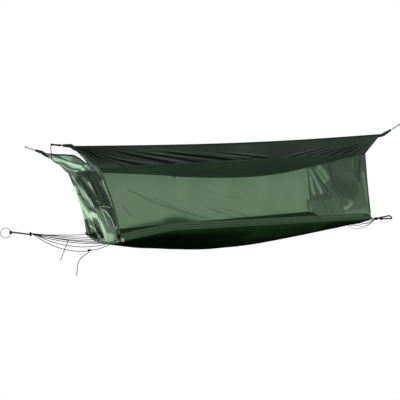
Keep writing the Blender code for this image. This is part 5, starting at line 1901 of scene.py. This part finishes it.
@dataclass
class CornerTies:
    """The webbing tabs at the roof's corners with their cord loops."""

    length: float = 0.066
    width: float = 0.018
    tab_thickness: float = 0.0022
    eye_wall: float = 0.0016
    cord: float = 0.0036
    loop_length: float = 0.056
    ties: tuple[tuple[str, float, float, float, Place], ...] = (
        ("head_front", ROOF_HEAD_X, -ROOF_HALF_WIDTH, EAVE_HEAD, (-0.97, -0.16, 0.08)),
        ("head_back", ROOF_HEAD_X, ROOF_HALF_WIDTH, EAVE_HEAD + HEAD_BACK_LIFT,
         (-0.88, 0.30, 0.36)),
        ("foot_front", ROOF_FOOT_X, -ROOF_HALF_WIDTH, EAVE_FOOT, (0.66, -0.52, 0.46)),
        ("foot_back", ROOF_FOOT_X, ROOF_HALF_WIDTH, EAVE_FOOT, (0.84, 0.40, 0.36)))
    tail: tuple[Place, ...] = (
        (0.0, 0.0, 0.0), (-0.003, -0.001, -0.008), (-0.005, -0.002, -0.022),
        (-0.004, -0.002, -0.040), (-0.002, -0.003, -0.060), (-0.002, -0.004, -0.082))

    @staticmethod
    def frame_at(corner: Points, direction: Sequence[float]) -> tuple[Points, Points]:
        """A corner's place and its axes: out along the tie, across it, and off its face.

        Args:
            corner: the roof's corner.
            direction: the way the tie pulls.

        Returns:
            The corner as an array, and the axes as rows.
        """
        out = unit(np.asarray(direction, dtype=float))
        across = unit(np.cross([0.0, 0.0, 1.0], out))
        return np.asarray(corner, dtype=float), np.stack([out, across, np.cross(out, across)])

    def build(self) -> None:
        """Makes each tab, its stitches, its loop and the head-front loop's free end."""
        for name, x, y, z, direction in self.ties:
            corner, axes = self.frame_at((x, y, z), direction)
            self._tab(name, corner, axes)
            self._gather(name, corner, axes[0])
            tip = self._loop(name, corner, axes)
            if name == "head_front":
                start = tip - [0.0, 0.0, self.cord / 2 + GAP * 2]
                path = smooth_path([start + point for point in self.tail], 0.004)
                free_cord("head_front_loop_tail", path, CORD_DARK, "head_front_roof_loop",
                          "head_front_cord_end")

    def _tab(self, name: str, corner: Points, axes: Points) -> None:
        """A tape that runs out, turns round the loop's cord and comes back on itself.

        Args:
            name: the corner's name.
            corner, axes: as frame_at gives them.
        """
        radius = self.cord / 2 + 0.0004 + self.eye_wall / 2
        turn = np.linspace(-0.75 * np.pi, 0.75 * np.pi, 22)
        half = self.tab_thickness / 4
        near_eye = self.length - 2.4 * radius
        flat = np.concatenate([
            np.stack([np.linspace(GAP * 2, near_eye, 12), np.full(12, -half)], axis=1),
            np.stack([self.length + radius * np.cos(turn), radius * np.sin(turn)], axis=1),
            np.stack([np.linspace(near_eye, 0.012, 12), np.full(12, half)], axis=1)])
        path = corner + flat[:, :1] * axes[0] + flat[:, 1:] * axes[2]
        tab = strap(f"{name}_tab", path, self.width, self.eye_wall * 0.62, axes[1])
        dress(tab, WEBBING, "hammock", f"{name}_roof_tab")
        row = np.linspace(-self.width / 2 + 0.002, self.width / 2 - 0.002, 30)[:, None] * axes[1]
        lift = (half + self.eye_wall * 0.34) * axes[2]
        for label, place in (("inner", 0.014), ("outer", 0.053)):
            for side, way in (("under", -1.0), ("over", 1.0)):
                line = corner + place * axes[0] + row + way * lift
                stitches(f"{name}_tab_{label}_stitches_{side}", line, "hammock", 0.0035,
                         TAB_THREAD, across=tuple(axes[0]))

    def _gather(self, name: str, corner: Points, out: Points) -> None:
        """The corner's cloth drawn together round the tab, with the turns of a lashing.

        Args:
            name: the corner's name.
            corner: its place.
            out: the way the tie pulls.
        """
        foot, back = corner[0] > BED_MIDDLE_X, corner[1] > 0.0
        x, y = (SEAM_FOOT_X - 0.16 if foot else SEAM_HEAD_X), (HALF_WIDTH if back else -HALF_WIDTH)
        inward = unit(np.array([x, y, float(seam_height(np.array(x), np.array(y)))]) - corner)
        path = smooth_path([corner + 0.070 * inward, corner + 0.045 * inward,
                            corner + 0.020 * inward, corner + 0.004 * out, corner + 0.025 * out,
                            corner + self.length * 0.78 * out], 0.0016)
        t = np.linspace(0.0, 1.0, len(path))
        radius = 0.0012 + 0.0105 * rise(0.0, 0.45, t) - 0.0035 * rise(0.55, 1.0, t)
        radius = radius * (1.0 + 0.05 * np.sin(220.0 * t))
        dress(tube(f"{name}_gather", path, radius, 16, upright=(0.3, 0.2, 1.0)), GATHER, "hammock")

    def _loop(self, name: str, corner: Points, axes: Points) -> Points:
        """A closed loop of two-strand cord that tapers to a small dark knot at its tip.

        Args:
            name: the corner's name.
            corner, axes: as frame_at gives them.

        Returns:
            The loop's tip.
        """
        c = self.cord
        half = self.width / 2
        base = half + c
        tip = self.loop_length - c * 1.5
        points = [(0.0, 0.0), (0.0, half), (c * 0.6, base), (c * 2.0, base),
                  (mix(c * 2.0, tip, 0.5), mix(base, c * 1.2, 0.62)), (tip, c * 1.25),
                  (self.loop_length, 0.0)]
        points += [(a, -b) for a, b in points[-2:0:-1]] + points[:1]
        path = smooth_path([(a, b, 0.0) for a, b in points], 0.002)[:-1]
        place = corner + self.length * axes[0]
        world = place + path[:, :1] * axes[0] + path[:, 1:2] * axes[1]
        loop = twisted(f"{name}_loop", world, c * 0.72, 0.018, axes[2])
        finish = CORD_DARK if name == "head_front" else CORD_PALE
        dress(loop, finish, f"{name}_roof_loop", f"{name}_roof_loop")
        tip_place = place + (self.loop_length - c * 0.9) * axes[0]
        knot_bead(f"{name}_loop_knot", tip_place, axes[0], 0.0078, 0.0034, f"{name}_roof_loop")
        return place + self.loop_length * axes[0]


@dataclass
class SmallFittings:
    """The blank label, the corner eyelet and the lamp loop under the ceiling."""

    label_size: Place = (0.026, 0.092, 0.0008)
    lamp_x: float = SEAM_HEAD_X + 0.641
    lamp_pivot: float = 0.284308
    lamp_cord: float = 0.0032
    lamp_half_width: float = 0.011
    lamp_drop: float = 0.031
    eyelet_x: float = 0.624
    eyelet_y: float = -0.3778
    eyelet_width: float = 0.018
    eyelet_thread: float = 0.0028

    def build(self) -> None:
        """Makes the three."""
        self._label()
        self._eyelet()
        self._lamp_loop()

    def _label(self) -> None:
        """A blank cloth label sewn by its top edge, its lower edge curling a little."""
        width, height, thick = self.label_size
        left = float(corner_x(np.array(0.0), False)) - 0.008 - width - 0.0009
        top = float(rim_back(np.array(BED_FOOT_X))) + WEBBING_HEIGHT + height
        u, v = grid(np.linspace(0.0, 1.0, 14), np.linspace(0.0, 1.0, 36))
        curl = 0.0028 * v ** 3 + 0.0008 * np.sin(np.pi * u) * v
        points = np.stack([left + width * u, HALF_WIDTH - 0.0054 - curl, top - height * v], -1)
        cloth("blank_label", points, np.stack([u * width, v * height], -1),
              np.full_like(u, 0.95), thick, LABEL, "hammock", "care_label")
        row = points[:, 1] - [0.0, thick, 0.0]
        stitches("label_stitches", row, "hammock", 0.004)

    def _eyelet(self) -> None:
        """A thread-wound eyelet: a ring whose wire swells with each turn of the thread."""
        centre = (self.eyelet_x, self.eyelet_y, float(rim_front(np.array(self.eyelet_x))))
        path = circle(centre, (self.eyelet_width - self.eyelet_thread) / 2, 192)
        swell = self.eyelet_thread / 2 + 0.00018 * np.sin(40.0 * whole_turn(192))
        eyelet = tube("eyelet", path, swell, 12, ring=True, upright=(0.0, 1.0, 0.0))
        dress(eyelet, PALE_TAPE, "hammock", "corner_eyelet")

    def _lamp_loop(self) -> None:
        """A tape folded round the loop's cord, and the pale loop hanging in it."""
        across, drop = self.lamp_half_width, self.lamp_drop
        turn = np.linspace(-np.pi, 0.0, 22)
        arc = np.stack([across * np.cos(turn), across * np.sin(turn) - drop], axis=1)
        sides = np.stack([np.full(8, across), np.linspace(-drop, -0.004, 8)], axis=1)[1:]
        top = np.array([[0.0078, -0.0002], [-0.0078, -0.0002]])
        flat = np.vstack([arc, sides, top, sides[::-1] * np.array([-1.0, 1.0]), arc[:1]])
        path = smooth_path(np.stack([flat[:, 0], 0.0 * flat[:, 0], flat[:, 1]], 1), 0.002)[:-1]
        path = path + [self.lamp_x, 0.0, self.lamp_pivot]
        dress(tube("lamp_cord_loop", path, self.lamp_cord / 2, 8, ring=True,
                   upright=(0.0, 1.0, 0.0)), PALE_TAPE, "lamp_loop", "lamp_loop")
        radius = self.lamp_cord / 2 + 0.0009
        bend = np.linspace(0.0, -np.pi, 15)
        around = np.stack([radius * np.cos(bend), radius * np.sin(bend)], axis=1)
        top = self.lamp_pivot + 0.0072
        rises = np.array([[radius * 0.6, top], [radius, self.lamp_pivot + 0.002]])
        points = np.vstack([rises, around + [0.0, self.lamp_pivot], rises[::-1] * [-1.0, 1.0]])
        path = np.stack([np.full(len(points), self.lamp_x), points[:, 0], points[:, 1]], 1)
        dress(strap("lamp_tape", path, 0.0146, 0.0008, (1.0, 0.0, 0.0)), WEBBING, "hammock",
              "lamp_loop_tab")


@dataclass
class Studio:
    """The floor, the light and the camera."""

    floor_height: float = -1.15
    floor_reach: float = 14.0
    floor_middle: float = 1.5
    camera_place: Place = (-0.576, -4.112, 0.212)
    yaw: float = 24.83
    pitch: float = -1.25
    roll: float = -3.67
    focal_pixels: float = 648.0
    frame_pixels: float = 400.0
    sensor: float = 36.0
    air_light: float = 0.75

    def build(self) -> None:
        """Makes all three."""
        self._world()
        self._floor()
        self._lamps()
        self._camera()

    def _world(self) -> None:
        """White to the camera and in gloss, and an even pale light on everything else."""
        world = bpy.data.worlds.new("studio_air")
        bpy.context.scene.world = world
        world.use_nodes = True
        world.node_tree.nodes.clear()
        tree = Tree(world.node_tree)
        dim = tree.add("ShaderNodeBackground", {"Color": (0.96, 0.98, 1.0, 1.0),
                                                "Strength": self.air_light})
        white = tree.add("ShaderNodeBackground", {"Color": (1.0, 1.0, 1.0, 1.0)})
        mixed = tree.add("ShaderNodeMixShader", {0: tree.seen(), 1: dim.outputs[0], 2: white.outputs[0]})
        tree.add("ShaderNodeOutputWorld", {"Surface": mixed.outputs[0]})

    def _floor(self) -> None:
        """A round pale floor, white to the camera like the air behind it."""
        turn = whole_turn(96)
        rim = np.stack([self.floor_reach * np.cos(turn) + self.floor_middle,
                        self.floor_reach * np.sin(turn), np.full(96, self.floor_height)], axis=1)
        points = np.vstack([rim, [[self.floor_middle, 0.0, self.floor_height]]])
        order = np.arange(96)
        faces = np.stack([order, (order + 1) % 96, np.full(96, 96)], axis=1)
        floor = make_mesh("studio_floor", points, faces)
        paint = bpy.data.materials.new("studio_floor_white")
        paint.use_nodes = True
        paint.node_tree.nodes.clear()
        tree = Tree(paint.node_tree)
        matt = tree.add("ShaderNodeBsdfDiffuse", {"Color": (0.9, 0.9, 0.9, 1.0)})
        glow = tree.add("ShaderNodeEmission", {"Color": (1.0, 1.0, 1.0, 1.0)})
        plain = tree.add("ShaderNodeMixShader", {0: tree.seen(), 1: matt.outputs[0], 2: glow.outputs[0]})
        tree.add("ShaderNodeOutputMaterial", {"Surface": plain.outputs[0]})
        floor.data.materials.append(paint)

    def _lamps(self) -> None:
        """A wide soft lamp from the head's side and a weaker one from above the front."""
        aim = np.array([1.4, 0.0, 0.1])
        lamps = (("head_side_lamp", (-4.2, 0.6, 1.6), 3.2, 170.0),
                 ("front_lamp", (0.6, -4.6, 3.4), 3.0, 90.0))
        for name, place, size, power in lamps:
            light = bpy.data.lights.new(name, "AREA")
            light.shape = "DISK"
            light.size = size
            light.energy = power
            lamp = bpy.data.objects.new(name, light)
            bpy.context.scene.collection.objects.link(lamp)
            away = unit(np.asarray(place) - aim)
            side = unit(np.cross([0.0, 0.0, 1.0], away))
            lamp.matrix_world = frame_matrix(side, np.cross(away, side), away, place)

    def _camera(self) -> None:
        """The photograph's view; the roll turns the upright picture about its middle."""
        yaw, pitch, roll = np.radians([self.yaw, self.pitch, self.roll])
        ahead = np.array([np.sin(yaw) * np.cos(pitch), np.cos(yaw) * np.cos(pitch), np.sin(pitch)])
        right = np.array([np.cos(yaw), -np.sin(yaw), 0.0])
        over = np.cross(right, ahead)
        side = np.cos(roll) * right + np.sin(roll) * over
        top = np.cos(roll) * over - np.sin(roll) * right
        lens = bpy.data.cameras.new("photo_camera")
        lens.sensor_width = self.sensor
        lens.lens = self.focal_pixels / self.frame_pixels * self.sensor
        camera = bpy.data.objects.new("photo_camera", lens)
        bpy.context.scene.collection.objects.link(camera)
        camera.matrix_world = frame_matrix(side, top, -ahead, self.camera_place)
        bpy.context.scene.camera = camera


def frame_matrix(side: Points, over: Points, back: Points, place: Sequence[float]) -> Matrix:
    """The matrix whose columns are three directions and a place."""
    rows = np.stack([side, over, back, place], axis=1)
    return Matrix([*rows.tolist(), [0.0, 0.0, 0.0, 1.0]])


def main() -> None:
    """Builds the pieces in order, from the head to the foot."""
    logging.basicConfig(level=logging.INFO, format="%(message)s")
    bpy.context.scene.view_settings.view_transform = "Standard"
    Studio().build()
    for assembly in (HeadRigging(), FootRigging(), Bed(), Roof(), NetWalls(), EntryZip(),
                     CornerTies(), SmallFittings()):
        assembly.build()


if __name__ == "__main__":
    main()
